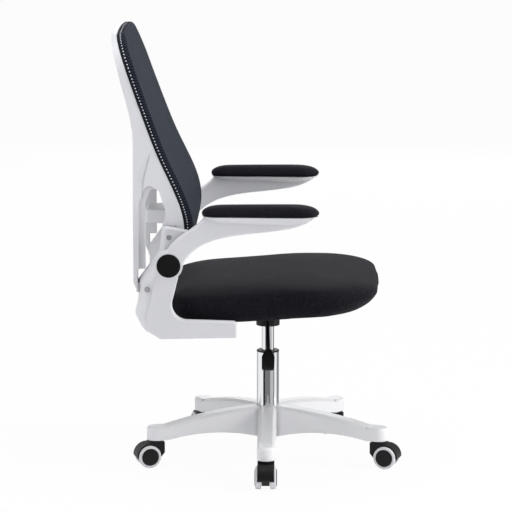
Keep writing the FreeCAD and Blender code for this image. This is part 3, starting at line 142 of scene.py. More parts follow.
def rounded_rings(corners: Array, radii: Array, arc: int = 12, run: int = 16) -> Array:
    """Closed outlines with round corners, all with the same number of points.

    Each corner is cut by an arc that touches both its sides, and straight runs join the arcs.

    Args:
        corners: corner points of every outline in counter-clockwise order, shape (n, k, 2).
        radii: radius at every corner, shape (n, k).
        arc: points along one arc.
        run: points inside one straight run.

    Returns:
        Points of every outline, shape (n, k * (arc + run), 2).
    """
    before = np.roll(corners, 1, axis=1) - corners
    after = np.roll(corners, -1, axis=1) - corners
    before /= np.linalg.norm(before, axis=2, keepdims=True)
    after /= np.linalg.norm(after, axis=2, keepdims=True)
    half = np.arccos(np.clip((before * after).sum(2), -1, 1)) / 2
    reach = (radii / np.tan(half))[..., None]
    middle = before + after
    middle /= np.linalg.norm(middle, axis=2, keepdims=True)
    centre = corners + middle * (radii / np.sin(half))[..., None]
    start = corners + before * reach
    end = corners + after * reach
    first = np.arctan2(*np.moveaxis(start - centre, 2, 0)[::-1])
    sweep = np.pi - 2 * half
    turn = first[..., None] + sweep[..., None] * np.linspace(0, 1, arc)
    arcs = centre[:, :, None] + radii[..., None, None] * np.stack([np.cos(turn), np.sin(turn)], -1)
    share = np.linspace(0, 1, run + 2)[1:-1, None]
    runs = end[:, :, None] * (1 - share) + np.roll(start, -1, axis=1)[:, :, None] * share
    return np.concatenate([arcs, runs], axis=2).reshape(len(corners), -1, 2)


def ring_faces(rows: int, columns: int) -> Array:
    """Quads of a tube of closed rings, facing out for counter-clockwise rings that rise.

    Args:
        rows: number of rings.
        columns: points in one ring.

    Returns:
        Vertex numbers of the quads, shape ((rows - 1) * columns, 4).
    """
    i = np.arange(rows * columns).reshape(rows, columns)
    right = np.roll(i, -1, axis=1)
    return np.stack([i[:-1], right[:-1], right[1:], i[1:]], -1).reshape(-1, 4)


def pole_faces(ring: Array, pole: int, upward: bool) -> Array:
    """Triangles that close a ring to one point.

    Args:
        ring: vertex numbers of the ring, counter-clockwise seen from above.
        pole: vertex number of the point.
        upward: whether the faces look up.

    Returns:
        Vertex numbers of the triangles, shape (len(ring), 3).
    """
    following = np.roll(ring, -1)
    tip = np.full_like(ring, pole)
    return np.stack([ring, following, tip] if upward else [following, ring, tip], -1)


def mesh_object(name: str, points: Array, faces: list) -> Piece:
    """Make a smooth-shaded mesh object at the origin.

    Args:
        name: the piece's name.
        points: vertices in metres, shape (n, 3).
        faces: lists of vertex numbers.

    Returns:
        The new object, linked to the scene.
    """
    mesh = bpy.data.meshes.new(name)
    mesh.from_pydata(points.tolist(), [], faces)
    mesh.polygons.foreach_set("use_smooth", np.ones(len(mesh.polygons), bool))
    mesh.update()
    piece = bpy.data.objects.new(name, mesh)
    bpy.context.scene.collection.objects.link(piece)
    return piece


def crowned_form(name: str, rings: Array, heights: Array, crown: float) -> Piece:
    """Closed form through level rings, flat below and closed above by a shallow dome.

    Above the last ring, copies of it shrink to their middle while the height follows a parabola.

    Args:
        name: the piece's name.
        rings: outlines from the lowest to the highest, shape (n, k, 2).
        heights: height of every outline, shape (n,).
        crown: further rise from the last outline to the middle.

    Returns:
        The new object.
    """
    shrink = np.linspace(1, 0, DOME_RINGS + 2)[1:-1]
    low, high = rings[0].mean(0), rings[-1].mean(0)
    floors = low + (rings[0] - low) * shrink[::-1][:, None, None]
    domes = high + (rings[-1] - high) * shrink[:, None, None]
    every = np.concatenate([floors, rings, domes])
    dome_heights = heights[-1] + crown * (1 - shrink**2)
    z = np.concatenate([np.full(len(floors), heights[0]), heights, dome_heights])
    rows, columns = every.shape[:2]
    level = np.broadcast_to(z[:, None, None], (rows, columns, 1))
    points = np.concatenate([every, level], -1).reshape(-1, 3)
    poles = np.array([[*low, heights[0]], [*high, heights[-1] + crown]])
    last = np.arange((rows - 1) * columns, rows * columns)
    faces = ring_faces(rows, columns).tolist()
    faces += pole_faces(np.arange(columns), rows * columns, False).tolist()
    faces += pole_faces(last, rows * columns + 1, True).tolist()
    return mesh_object(name, np.concatenate([points, poles]), faces)


def vertex_places(mesh: bpy.types.Mesh) -> Array:
    """Read the vertices of a mesh.

    Args:
        mesh: the mesh.

    Returns:
        The vertices' places, shape (n, 3).
    """
    places = np.empty(len(mesh.vertices) * 3)
    mesh.vertices.foreach_get("co", places)
    return places.reshape(-1, 3)


@dataclass(frozen=True)
class Stuffing:
    """How a padded piece is filled: a cloth skin of small squares, blown up against its stretch."""

    voxel: float
    pressure: float
    cap: float
    fixed_height: float
    frames: int = 20
    rounds: int = 40
    quality: int = 4
    mass: float = 0.3
    stretch: float = 25
    bending: float = 2

    def swell(self, piece: Piece) -> None:
        """Blow the piece up as cloth and keep the result in its mesh, then smooth its skin.

        Args:
            piece: closed form, a little smaller than the finished one.
        """
        self._remesh(piece)
        self._inflate(piece)
        smooth = piece.modifiers.new("soft_skin", "SUBSURF")
        smooth.levels = smooth.render_levels = 1

    def _remesh(self, piece: Piece) -> None:
        """Cover the piece with even squares.

        Args:
            piece: the closed form.
        """
        squares = piece.modifiers.new("squares", "REMESH")
        squares.mode = "VOXEL"
        squares.voxel_size = self.voxel
        graph = bpy.context.evaluated_depsgraph_get()
        mesh = bpy.data.meshes.new_from_object(piece.evaluated_get(graph))
        piece.modifiers.clear()
        piece.data = mesh
        mesh.polygons.foreach_set("use_smooth", np.ones(len(mesh.polygons), bool))

    def _inflate(self, piece: Piece) -> None:
        """Run the cloth, limit how far each point moves, even the moves out and write them back.

        Args:
            piece: the form with its even squares; its lowest part is held.
        """
        rest = vertex_places(piece.data)
        low = np.flatnonzero(rest[:, 2] < rest[:, 2].min() + self.fixed_height)
        held = piece.vertex_groups.new(name="held")
        held.add(low.tolist(), 1.0, "REPLACE")
        cloth = piece.modifiers.new("skin", "CLOTH")
        settings = cloth.settings
        settings.quality = self.quality
        settings.mass = self.mass
        settings.tension_stiffness = settings.compression_stiffness = self.stretch
        settings.bending_stiffness = self.bending
        settings.use_pressure = True
        settings.uniform_pressure_force = self.pressure
        settings.effector_weights.gravity = 0
        settings.vertex_group_mass = held.name
        cloth.point_cache.frame_start, cloth.point_cache.frame_end = 1, self.frames
        scene = bpy.context.scene
        for number in range(1, self.frames + 1):
            scene.frame_set(number)
        blown = vertex_places(piece.evaluated_get(bpy.context.evaluated_depsgraph_get()).data)
        move = blown - rest
        length = np.linalg.norm(move, axis=1, keepdims=True)
        move *= np.minimum(1, self.cap / np.maximum(length, TINY))
        places = rest + self._settle(piece.data, move)
        piece.modifiers.clear()
        piece.vertex_groups.clear()
        piece.data.vertices.foreach_set("co", places.ravel())
        piece.data.update()
        scene.frame_set(1)

    def _settle(self, mesh: bpy.types.Mesh, move: Array) -> Array:
        """Even out the moves: each round takes the mean of a point's move and its neighbours' mean.

        Args:
            mesh: the mesh whose edges name the neighbours.
            move: the moves, shape (n, 3).

        Returns:
            The evened moves, shape (n, 3).
        """
        ends = np.empty(len(mesh.edges) * 2, int)
        mesh.edges.foreach_get("vertices", ends)
        a, b = ends.reshape(-1, 2).T
        n = len(move)
        count = np.bincount(ends, minlength=n)[:, None]
        for _ in range(self.rounds):
            sums = [np.bincount(a, m[b], n) + np.bincount(b, m[a], n) for m in move.T]
            move = (move + np.stack(sums, -1) / count) / 2
        return move


def toned(colour: Triple, share: float) -> Triple:
    """The colour with each part times the share."""
    return tuple(share * part for part in colour)


class NodeTable:
    """The node tree of a material or world, with short ways to add and join nodes."""

    def __init__(self, owner: bpy.types.Material | bpy.types.World) -> None:
        """Start with the owner's plain nodes: its shader, joined to the output.

        Args:
            owner: the new material or world.
        """
        owner.use_nodes = True
        self.owner = owner
        self.tree = owner.node_tree
        plain = "Background" if isinstance(owner, bpy.types.World) else "Principled BSDF"
        self.shader = self.tree.nodes[plain]

    def add(self, kind: str, settings: dict | None = None, inputs: dict | None = None,
            **named: object) -> bpy.types.Node:
        """Add a node.

        Args:
            kind: Blender's node type without the ShaderNode prefix.
            settings: values of the node's own properties.
            inputs: values or output sockets to join, by the input's number.
            **named: the same by the input's name, with _ for a space.

        Returns:
            The new node.
        """
        node = self.tree.nodes.new("ShaderNode" + kind)
        for key, value in (settings or {}).items():
            setattr(node, key, value)
        for key, value in (inputs or {}).items():
            self.put(node, key, value)
        for key, value in named.items():
            self.put(node, key.replace("_", " "), value)
        return node

    def put(self, node: bpy.types.Node, name: str | int, value: object) -> None:
        """Set an input, or join an output to it.

        Args:
            node: the node with the input.
            name: the input's name or number.
            value: a number, a colour of three parts, a vector or an output socket.
        """
        socket = node.inputs[name]
        if isinstance(value, Socket):
            self.tree.links.new(value, socket)
        else:
            socket.default_value = (*value, 1.0) if socket.type == "RGBA" else value

    def set_shader(self, **named: object) -> None:
        """Set or join inputs of the shader, named with _ for a space."""
        for key, value in named.items():
            self.put(self.shader, key.replace("_", " "), value)

    def math(self, operation: str, first: object, second: object = 0.0) -> Socket:
        """Result of one of Blender's operations on numbers or sockets."""
        return self.add("Math", {"operation": operation}, {0: first, 1: second}).outputs[0]

    def ramp(self, value: Socket, low: float = 0.0, high: float = 1.0,
             start: float = 0.0, end: float = 1.0) -> Socket:
        """Value mapped from start..end to low..high in a straight line, held beyond its ends."""
        ends = {"From_Min": start, "From_Max": end, "To_Min": low, "To_Max": high}
        return self.add("MapRange", Value=value, **ends).outputs[0]

    def tint(self, share: Socket, dark: object, light: object) -> Socket:
        """Blend of two colours or their sockets: the first at share 0, the second at share 1."""
        blend = {0: share, MIX_COLOURS[0]: dark, MIX_COLOURS[1]: light}
        return self.add("Mix", {"data_type": "RGBA"}, blend).outputs[MIX_RESULT]

    def noise(self, where: Socket, scale: float, detail: float = 2.0) -> Socket:
        """Soft random pattern of the given scale per metre, as a factor."""
        return self.add("TexNoise", Vector=where, Scale=scale, Detail=detail).outputs["Fac"]

    def place(self) -> Socket:
        """The piece's own coordinates in metres."""
        return self.add("TexCoord").outputs["Object"]

    def relief(self, height: Socket, depth: float, edge: float = 0.0) -> None:
        """Join a bump to the shader, over edges that catch the light as if rounded.

        Args:
            height: pattern of heights from 0 to 1.
            depth: height of the pattern in metres.
            edge: radius of the rounded look of edges in metres.
        """
        bump = self.add("Bump", Height=height, Strength=1.0, Distance=depth)
        if edge:
            self.put(bump, "Normal", self.rounded(edge))
        self.set_shader(Normal=bump.outputs[0])

    def rounded(self, radius: float) -> Socket:
        """The surface's direction as if its edges had the given radius."""
        return self.add("Bevel", {"samples": BEVEL_SAMPLES}, Radius=radius).outputs[0]

    def rim(self, radius: float) -> Socket:
        """Share that is 1 on edges: how far the rounded direction turns from the plain one.

        Args:
            radius: radius of the rounded look in metres.

        Returns:
            The share's socket.
        """
        both = {0: self.rounded(radius), 1: self.add("NewGeometry").outputs["Normal"]}
        turn = self.add("VectorMath", {"operation": "DOT_PRODUCT"}, both)
        return self.ramp(turn.outputs["Value"], start=HIGHLIGHT_TURN[0], end=HIGHLIGHT_TURN[1])


@dataclass(frozen=True)
class Moulding:
    """Moulded plastic: fine grain, slightly uneven gloss, rounded-looking edges, and painted shade
    and highlights.
    """

    name: str
    colour: Triple
    shade: float
    roughness: tuple[float, float]
    grain: float
    depth: float
    edge: float
    specular: float = 0.5
    # Share of the colour kept in the painted shade in hollows; below 1 it also adds a painted
    # highlight on edges
    hollow_shade: float = 1.0
    crease: Line = ()
    cloud_scale: float = 9.0
    gloss_scale: float = 60.0
    hollow_shade_reach: float = 0.012
    highlight_width: float = 1.6
    # Tone of the painted shadow line along the crease, as a share of the colour
    crease_shadow: float = 0.72
    crease_width: tuple[float, float] = (0.003, 0.0006)
    crease_fade: tuple[float, float] = (0.01, 0.015)

    def material(self) -> bpy.types.Material:
        """Make the material: clouded tone, painted shade in hollows, a painted highlight on edges,
        a painted shadow line along the crease, grain and gloss.

        Returns:
            The new material.
        """
        t = NodeTable(bpy.data.materials.new(self.name))
        where = t.place()
        cloud = t.noise(where, self.cloud_scale, detail=3.0)
        tone = t.tint(cloud, toned(self.colour, self.shade), self.colour)
        # Painted shade: the colour darkens where nearby surfaces close in, by ambient occlusion
        if self.hollow_shade < 1.0:
            hollow = {"samples": HOLLOW_SAMPLES}
            near = t.add("AmbientOcclusion", hollow, Distance=self.hollow_shade_reach).outputs["AO"]
            tone = t.tint(near, toned(self.colour, self.hollow_shade), tone)
            # Painted highlight: edges lightened halfway to white
            pale = tuple((1.0 + part) / 2 for part in self.colour)
            tone = t.tint(t.rim(self.highlight_width * self.edge), tone, pale)
        # Painted shadow line along the crease below the frame's upper panel
        if self.crease:
            tone = t.tint(self._crease_shadow_line(t, where), tone, toned(self.colour, self.crease_shadow))
        gloss = t.ramp(t.noise(where, self.gloss_scale, detail=3.0), *self.roughness)
        t.set_shader(Base_Color=tone, Roughness=gloss, Specular_IOR_Level=self.specular)
        t.relief(t.noise(where, self.grain), self.depth, self.edge)
        return t.owner

    def _crease_shadow_line(self, t: NodeTable, where: Socket) -> Socket:
        """Share that is 1 on the painted shadow line through the crease's points (x, z), faded at
        its ends.

        The line's x is that of its first point plus, for each stretch, a straight ramp over z.

        Args:
            t: the material's nodes.
            where: the piece's own coordinates.

        Returns:
            The share's socket.
        """
        parts = t.add("SeparateXYZ", Vector=where)
        x, z = parts.outputs["X"], parts.outputs["Z"]
        line: object = self.crease[0][0]
        for (x0, z0), (x1, z1) in zip(self.crease, self.crease[1:]):
            line = t.math("ADD", t.ramp(z, 0.0, x1 - x0, z0, z1), line)
        far = t.math("ABSOLUTE", t.math("SUBTRACT", x, line))
        near = t.ramp(far, start=self.crease_width[0], end=self.crease_width[1])
        low, high = self.crease[0][1], self.crease[-1][1]
        above = t.ramp(z, start=low, end=low + self.crease_fade[0])
        below = t.ramp(z, start=high, end=high - self.crease_fade[1])
        return t.math("MULTIPLY", near, t.math("MULTIPLY", above, below))


@dataclass(frozen=True)
class Metal:
    """Plated or turned metal with fine marks along its turning direction."""

    name: str
    colour: Triple
    roughness: tuple[float, float]
    marks: float
    depth: float
    shade: float = 0.94
    squeeze: float = 14.0

    def material(self) -> bpy.types.Material:
        """Make the material: one pattern of marks, squeezed along Z, drives tone, gloss and relief.

        Returns:
            The new material.
        """
        t = NodeTable(bpy.data.materials.new(self.name))
        turned = t.add("Mapping", Vector=t.place(), Scale=(1.0, 1.0, self.squeeze))
        streak = t.noise(turned.outputs[0], self.marks, detail=4.0)
        tone = t.tint(streak, toned(self.colour, self.shade), self.colour)
        t.set_shader(Base_Color=tone, Metallic=1.0, Roughness=t.ramp(streak, *self.roughness))
        t.relief(streak, self.depth)
        return t.owner


@dataclass(frozen=True)
class Knit:
    """Fine knitted cover: rows of stitches with fuzz, as soft relief and a faint change of tone."""

    name: str
    dark: Triple
    light: Triple
    stitch: float
    depth: float
    sheen: float
    turn: Triple = (0.62, 0.41, 0.79)
    scatter: float = 0.4
    fuzz_scale: float = 2.5
    fuzz: float = 0.5
    wear_scale: float = 14.0
    wear: float = 0.3
    loops: float = 0.7
    loop_power: float = 3.0
    roughness: float = 0.85
    specular: float = 0.06
    sheen_roughness: float = 0.45

    def material(self) -> bpy.types.Material:
        """Make the material: round loops on a turned, slightly scattered lattice, with fuzz.

        Returns:
            The new material.
        """
        t = NodeTable(bpy.data.materials.new(self.name))
        where = t.place()
        turned = t.add("Mapping", Vector=where, Rotation=self.turn).outputs[0]
        cells = t.add("TexVoronoi", {"feature": "SMOOTH_F1"}, Vector=turned,
                      Scale=1 / self.stitch, Randomness=self.scatter)
        loop = t.math("SUBTRACT", 1.0, cells.outputs["Distance"])
        fuzz = t.math("MULTIPLY", t.noise(where, self.fuzz_scale / self.stitch), self.fuzz)
        wear = t.math("MULTIPLY", t.noise(where, self.wear_scale, detail=4.0), self.wear)
        dots = t.math("MULTIPLY", t.math("POWER", loop, self.loop_power), self.loops)
        tone = t.tint(t.math("ADD", dots, wear), self.dark, self.light)
        t.set_shader(Base_Color=tone, Roughness=self.roughness, Specular_IOR_Level=self.specular,
                     Sheen_Weight=self.sheen, Sheen_Roughness=self.sheen_roughness)
        t.relief(t.math("ADD", loop, fuzz), self.depth)
        return t.owner


@dataclass(frozen=True)
class Net:
    """Open stretched net: staggered small holes, and a row of pale stitches beside the border."""

    name: str
    dark: Triple
    light: Triple
    thread: Triple
    pitch: float
    row: float
    border: float
    stitch: float
    stitch_pitch: float
    cover: float
    rib: float
    block: float = 8.0
    strand_width: float = 0.055
    strand_soft: float = 0.6
    yarn_scale: float = 900.0
    cloud_scale: float = 11.0
    sway: float = 2.2
    sway_detail: float = 1.0
    sway_scale: float = 0.4
    weave_share: float = 0.13
    rib_share: float = 0.66
    roughness: float = 0.8
    specular: float = 0.04
    sheen: float = 0.015
    depth: float = 0.0005

    def material(self) -> bpy.types.Material:
        """Make the material: strands as the joints of a staggered wall, over swaying ribs.

        Its UV maps are in metres: the flat net, and along and in from its border.

        Returns:
            The new material.
        """
        t = NodeTable(bpy.data.materials.new(self.name))
        unit = self.block * self.pitch
        uv = t.add("UVMap", {"uv_map": "flat"}).outputs[0]
        wall = t.add("TexBrick", {"offset": 0.5}, Vector=uv, Scale=1 / unit,
                     Mortar_Size=self.strand_width, Mortar_Smooth=self.strand_soft,
                     Brick_Width=self.pitch / unit, Row_Height=self.row / unit)
        strand = wall.outputs["Fac"]
        yarn = t.noise(t.place(), self.yarn_scale)
        cloud = t.noise(t.place(), self.cloud_scale, detail=3.0)
        ribs = t.add("TexWave", {"bands_direction": "Y"}, Vector=uv, Scale=WAVE_PERIOD / self.rib,
                     Distortion=self.sway, Detail=self.sway_detail, Detail_Scale=self.sway_scale)
        weave = t.math("ADD", strand, t.math("ADD", yarn, cloud))
        weave = t.math("MULTIPLY", weave, self.weave_share)
        tone = t.math("ADD", weave, t.math("MULTIPLY", ribs.outputs["Fac"], self.rib_share))
        sewn = self._stitches(t)
        t.set_shader(
            Base_Color=t.tint(sewn, t.tint(tone, self.dark, self.light), self.thread),
            Alpha=t.math("MAXIMUM", t.ramp(strand, self.cover, 1.0), sewn),
            Roughness=self.roughness, Specular_IOR_Level=self.specular, Sheen_Weight=self.sheen)
        t.relief(t.math("ADD", strand, sewn), self.depth)
        return t.owner

    def _stitches(self, t: NodeTable) -> Socket:
        """Share that is 1 inside the row of round stitches at a set distance from the border.

        A stitch is where the distance from the middle of its own pitch is under its radius.

        Args:
            t: the material's nodes.

        Returns:
            The share's socket.
        """
        border = t.add("UVMap", {"uv_map": "border"}).outputs[0]
        parts = t.add("SeparateXYZ", Vector=border)
        turn = t.math("FRACT", t.math("DIVIDE", parts.outputs[0], self.stitch_pitch))
        along = t.math("MULTIPLY", t.math("SUBTRACT", turn, 0.5), self.stitch_pitch)
        across = t.math("SUBTRACT", parts.outputs[1], self.border)
        spot = t.add("CombineXYZ", X=along, Y=across).outputs[0]
        far = t.add("VectorMath", {"operation": "LENGTH"}, {0: spot})
        return t.math("LESS_THAN", far.outputs["Value"], self.stitch)


Recipe = Moulding | Metal | Knit | Net


@dataclass
class Finishes:
    """All finishes of the chair, by slot or by node, each made once."""

    # The white, shell and base mouldings also get painted shade in hollows and a painted highlight
    # on edges
    white: Moulding = Moulding(
        "white_moulding", (0.83, 0.83, 0.86), shade=0.97, roughness=(0.34, 0.44), grain=700.0,
        depth=0.00002, edge=0.002, hollow_shade=0.6)
    shell: Moulding = Moulding(
        "white_shell", (0.83, 0.83, 0.86), shade=0.96, roughness=(0.36, 0.46), grain=600.0,
        depth=0.00002, edge=0.0018, hollow_shade=0.7, crease=((-0.2640, 0.6197), *CREASE))
    base: Moulding = Moulding(
        "white_base", (0.93, 0.93, 0.945), shade=0.97, roughness=(0.3, 0.4), grain=700.0,
        depth=0.00002, edge=0.003, hollow_shade=0.6)
    black: Moulding = Moulding(
        "black_moulding", (0.012, 0.012, 0.013), shade=0.8, roughness=(0.4, 0.55), grain=1400.0,
        depth=0.00004, edge=0.0008, specular=0.2)
    ring: Moulding = Moulding(
        "black_carrier", (0.006, 0.006, 0.007), shade=0.8, roughness=(0.5, 0.65), grain=1400.0,
        depth=0.00004, edge=0.002, specular=0.15)
    paint: Moulding = Moulding(
        "black_paint", (0.01, 0.01, 0.011), shade=0.8, roughness=(0.45, 0.6), grain=900.0,
        depth=0.00003, edge=0.0006, specular=0.3)
    tread: Moulding = Moulding(
        "grey_tread", (0.82, 0.82, 0.84), shade=0.94, roughness=(0.5, 0.65), grain=500.0,
        depth=0.00003, edge=0.0006)
    screw: Moulding = Moulding(
        "screw_paint", (0.45, 0.45, 0.48), shade=0.85, roughness=(0.35, 0.5), grain=900.0,
        depth=0.00003, edge=0.0006)
    chrome: Metal = Metal(
        "chrome_plate", (0.86, 0.87, 0.89), roughness=(0.04, 0.09), marks=160.0, depth=0.000002)
    steel: Metal = Metal(
        "bright_steel", (0.6, 0.6, 0.62), roughness=(0.25, 0.38), marks=300.0, depth=0.000006)
    knit: Knit = Knit(
        "seat_knit", dark=(0.0015, 0.0015, 0.0027), light=(0.031, 0.031, 0.040), stitch=0.0036,
        depth=0.0008, sheen=0.05)
    net: Net = Net(
        "back_net", dark=(0.002, 0.0025, 0.004), light=(0.030, 0.036, 0.054),
        thread=(0.9, 0.9, 0.92), pitch=0.0026, row=0.0019, border=0.0052, stitch=0.0013,
        stitch_pitch=0.0064, cover=0.93, rib=0.0060)
    made: dict[str, bpy.types.Material] = field(default_factory=dict)

    def recipe(self, slot: Slot, node: str) -> Recipe:
        """The finish of a node: its own one if it has one, or that of its slot.

        Args:
            slot: the node's slot.
            node: the name of the node or new piece.

        Returns:
            The finish.
        """
        own = dict.fromkeys(SHELL_NODES, self.shell)
        own.update(mesh_band=self.ring, back_screws=self.screw, star_base=self.base)
        shared = {
            Slot.WHITE: self.white, Slot.BLACK: self.black, Slot.TREAD: self.tread,
            Slot.PAINT: self.paint, Slot.CHROME: self.chrome, Slot.STEEL: self.steel,
            Slot.KNIT: self.knit, Slot.NET: self.net,
        }
        return own.get(node, shared[slot])

    def dress(self, piece: Piece, slot: Slot) -> None:
        """Give a piece its finish, and make the material when it is first needed.

        Args:
            piece: the piece or CAD node.
            slot: its slot.
        """
        recipe = self.recipe(slot, piece.name)
        if recipe.name not in self.made:
            self.made[recipe.name] = recipe.material()
        piece.data.materials.clear()
        piece.data.materials.append(self.made[recipe.name])


@dataclass
class SubAssembly:
    """A group of CAD nodes and new pieces that are built and dressed together."""

    finishes: Finishes
    prefixes: tuple[str, ...] = ()

    def dress(self) -> None:
        """Dress this group's CAD nodes by their slots in the record."""
        for part in frame["record"]["subparts"]:
            node = part["node"]
            if node.startswith(self.prefixes):
                self.finishes.dress(frame["nodes"][node], Slot(part["material_slot"]))
                LOG.info("dressed %s as %s", node, part["material_slot"])

    def build(self) -> None:
        """Build the new pieces of this group; a group of rigid nodes has none."""

    def enter(self, piece: Piece, body: str, slot: Slot, *nodes: str) -> None:
        """Dress a new piece, attach it to its body and hide the CAD nodes it stands for.

        Args:
            piece: the new piece.
            body: the body it moves with.
            slot: its finish.
            *nodes: the CAD nodes that it stands for.
        """
        self.finishes.dress(piece, slot)
        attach(piece, body)
        if nodes:
            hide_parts(*nodes)
        LOG.info("built %s with %d vertices on %s", piece.name, len(piece.data.vertices), body)


@dataclass
class Undercarriage(SubAssembly):
    """Star base, casters and wheels."""

    prefixes: tuple[str, ...] = ("star_base", "caster_", "wheel_")


@dataclass
class GasLift(SubAssembly):
    """Lift tube, cylinder, seat plate and lever."""

    prefixes: tuple[str, ...] = (
        "column_", "thrust_", "piston_", "rod_", "gas_", "valve_", "lever_", "seat_plate")


@dataclass
class Seat(SubAssembly):
    """Seat board with its padded, knitted cushion."""

    prefixes: tuple[str, ...] = ("seat_pan", "seat_bolts", "seat_cushion")
    height: float = 0.356
    tilt: float = np.radians(4.0)
    back: float = -0.214
    front: float = 0.240
    bow: float = 0.012
    half_front: float = 0.246
    half_back: float = 0.230
    corner_front: float = 0.112
    corner_back: float = 0.085
    edge: float = 0.060
    crown: float = 0.012
    last_rise: float = 0.03
    grow: float = 0.001
    level_count: int = 48
    stuffing: Stuffing = Stuffing(voxel=0.006, pressure=4.0, cap=0.0025, fixed_height=0.012)

    def layers(self) -> Array:
        """Levels of the cushion from its foot to its crown.

        A row is the height, the inset at the sides, the front and the back, and the share of the
        corner radius. The first eight rows go up the edge, the others over the crown.

        Returns:
            One row per level, shape (n, 5).
        """
        e, c = self.edge, self.crown
        rows = np.array([
            (0.0003, 0.017, 0.044, 0.022, 0.90),
            (0.09 * e, 0.011, 0.032, 0.015, 0.94),
            (0.20 * e, 0.005, 0.020, 0.008, 0.97),
            (0.38 * e, 0.001, 0.008, 0.002, 0.99),
            (0.56 * e, 0.000, 0.001, 0.000, 1.00),
            (0.72 * e, 0.001, 0.005, 0.000, 1.00),
            (0.86 * e, 0.004, 0.022, 0.004, 0.98),
            (0.96 * e, 0.009, 0.047, 0.009, 0.96),
            (e + 0.14 * c, 0.018, 0.080, 0.018, 0.92),
            (e + 0.52 * c, 0.040, 0.118, 0.040, 0.86),
            (e + 0.82 * c, 0.075, 0.152, 0.075, 0.76),
            (e + 0.97 * c, 0.120, 0.180, 0.120, 0.58),
        ])
        return smooth_levels(rows, self.level_count)

    def rings(self, rows: Array) -> Array:
        """Outlines of the levels: a tapered rectangle with a bowed front and round corners.

        Args:
            rows: the levels, shape (n, 5).

        Returns:
            Points (x, y) of every outline, shape (n, k, 2).
        """
        side = rows[:, 1] - self.grow
        nose = self.front - rows[:, 2] + self.grow
        tail = self.back + rows[:, 3] - self.grow
        wide, narrow = self.half_front - side, self.half_back - side
        tip = nose + self.bow
        corners = corner_points((tail, -narrow), (nose, -wide), (tip, np.zeros_like(side)),
                                (nose, wide), (tail, narrow))
        bow = wide**2 / (4 * self.bow)
        rear, fore = self.corner_back * rows[:, 4], self.corner_front * rows[:, 4]
        return rounded_rings(corners, np.stack([rear, fore, bow, fore, rear], 1))

    def build(self) -> None:
        """Build the cushion, tilt it onto its board and blow it up."""
        rows = self.layers()
        last = self.last_rise * self.crown
        cushion = crowned_form("cushion", self.rings(rows), rows[:, 0], last)
        x, y, z = vertex_places(cushion.data).T
        c, s = np.cos(self.tilt), np.sin(self.tilt)
        places = np.stack([c * x - s * z, y, s * x + c * z + self.height], -1)
        cushion.data.vertices.foreach_set("co", places.ravel())
        cushion.data.update()
        self.stuffing.swell(cushion)
        self.enter(cushion, "seat", Slot.KNIT, "seat_cushion")


@dataclass
class Arms(SubAssembly):
    """Flip-up arms with brackets, pivot covers and padded tops."""

    prefixes: tuple[str, ...] = ("arm_", "bracket_", "pivot_cap", "back_screws")
    middle: float = 0.286
    bottom: float = 0.595
    rise: float = 0.022
    last_rise: float = 0.0006
    back: float = -0.136
    front: float = 0.113
    half_back: float = 0.030
    half_front: float = 0.038
    round_back: float = 0.93
    round_front: float = 0.96
    level_count: int = 30
    stuffing: Stuffing = Stuffing(voxel=0.004, pressure=4.0, cap=0.0015, fixed_height=0.006)

    def layers(self) -> Array:
        """Levels of a pad from its foot to its top.

        A row is the height, the inset at the sides and the inset at the ends.

        Returns:
            One row per level, shape (n, 3).
        """
        h = self.rise
        rows = np.array([
            (0.0003, 0.003, 0.004),
            (0.12 * h, 0.001, 0.001),
            (0.28 * h, 0.000, 0.000),
            (0.50 * h, 0.002, 0.003),
            (0.70 * h, 0.005, 0.009),
            (0.86 * h, 0.010, 0.018),
            (0.96 * h, 0.017, 0.032),
            (1.00 * h, 0.024, 0.052),
        ])
        return smooth_levels(rows, self.level_count)

    def build(self) -> None:
        """Build both pads: tapered rectangles whose ends are nearly half circles."""
        rows = self.layers()
        narrow, wide = self.half_back - rows[:, 1], self.half_front - rows[:, 1]
        tail, nose = self.back + rows[:, 2], self.front - rows[:, 2]
        rear, fore = self.round_back * narrow, self.round_front * wide
        radii = np.stack([rear, fore, fore, rear], 1)
        for side in Side:
            word, middle = side.name.lower(), side.value * self.middle
            corners = corner_points((tail, middle - narrow), (nose, middle - wide),
                                    (nose, middle + wide), (tail, middle + narrow))
            rings, heights = rounded_rings(corners, radii), self.bottom + rows[:, 0]
            pad = crowned_form(f"pad_{word}", rings, heights, self.last_rise)
            self.stuffing.swell(pad)
            self.enter(pad, f"arm_{word}", Slot.KNIT, f"arm_pad_{word}")


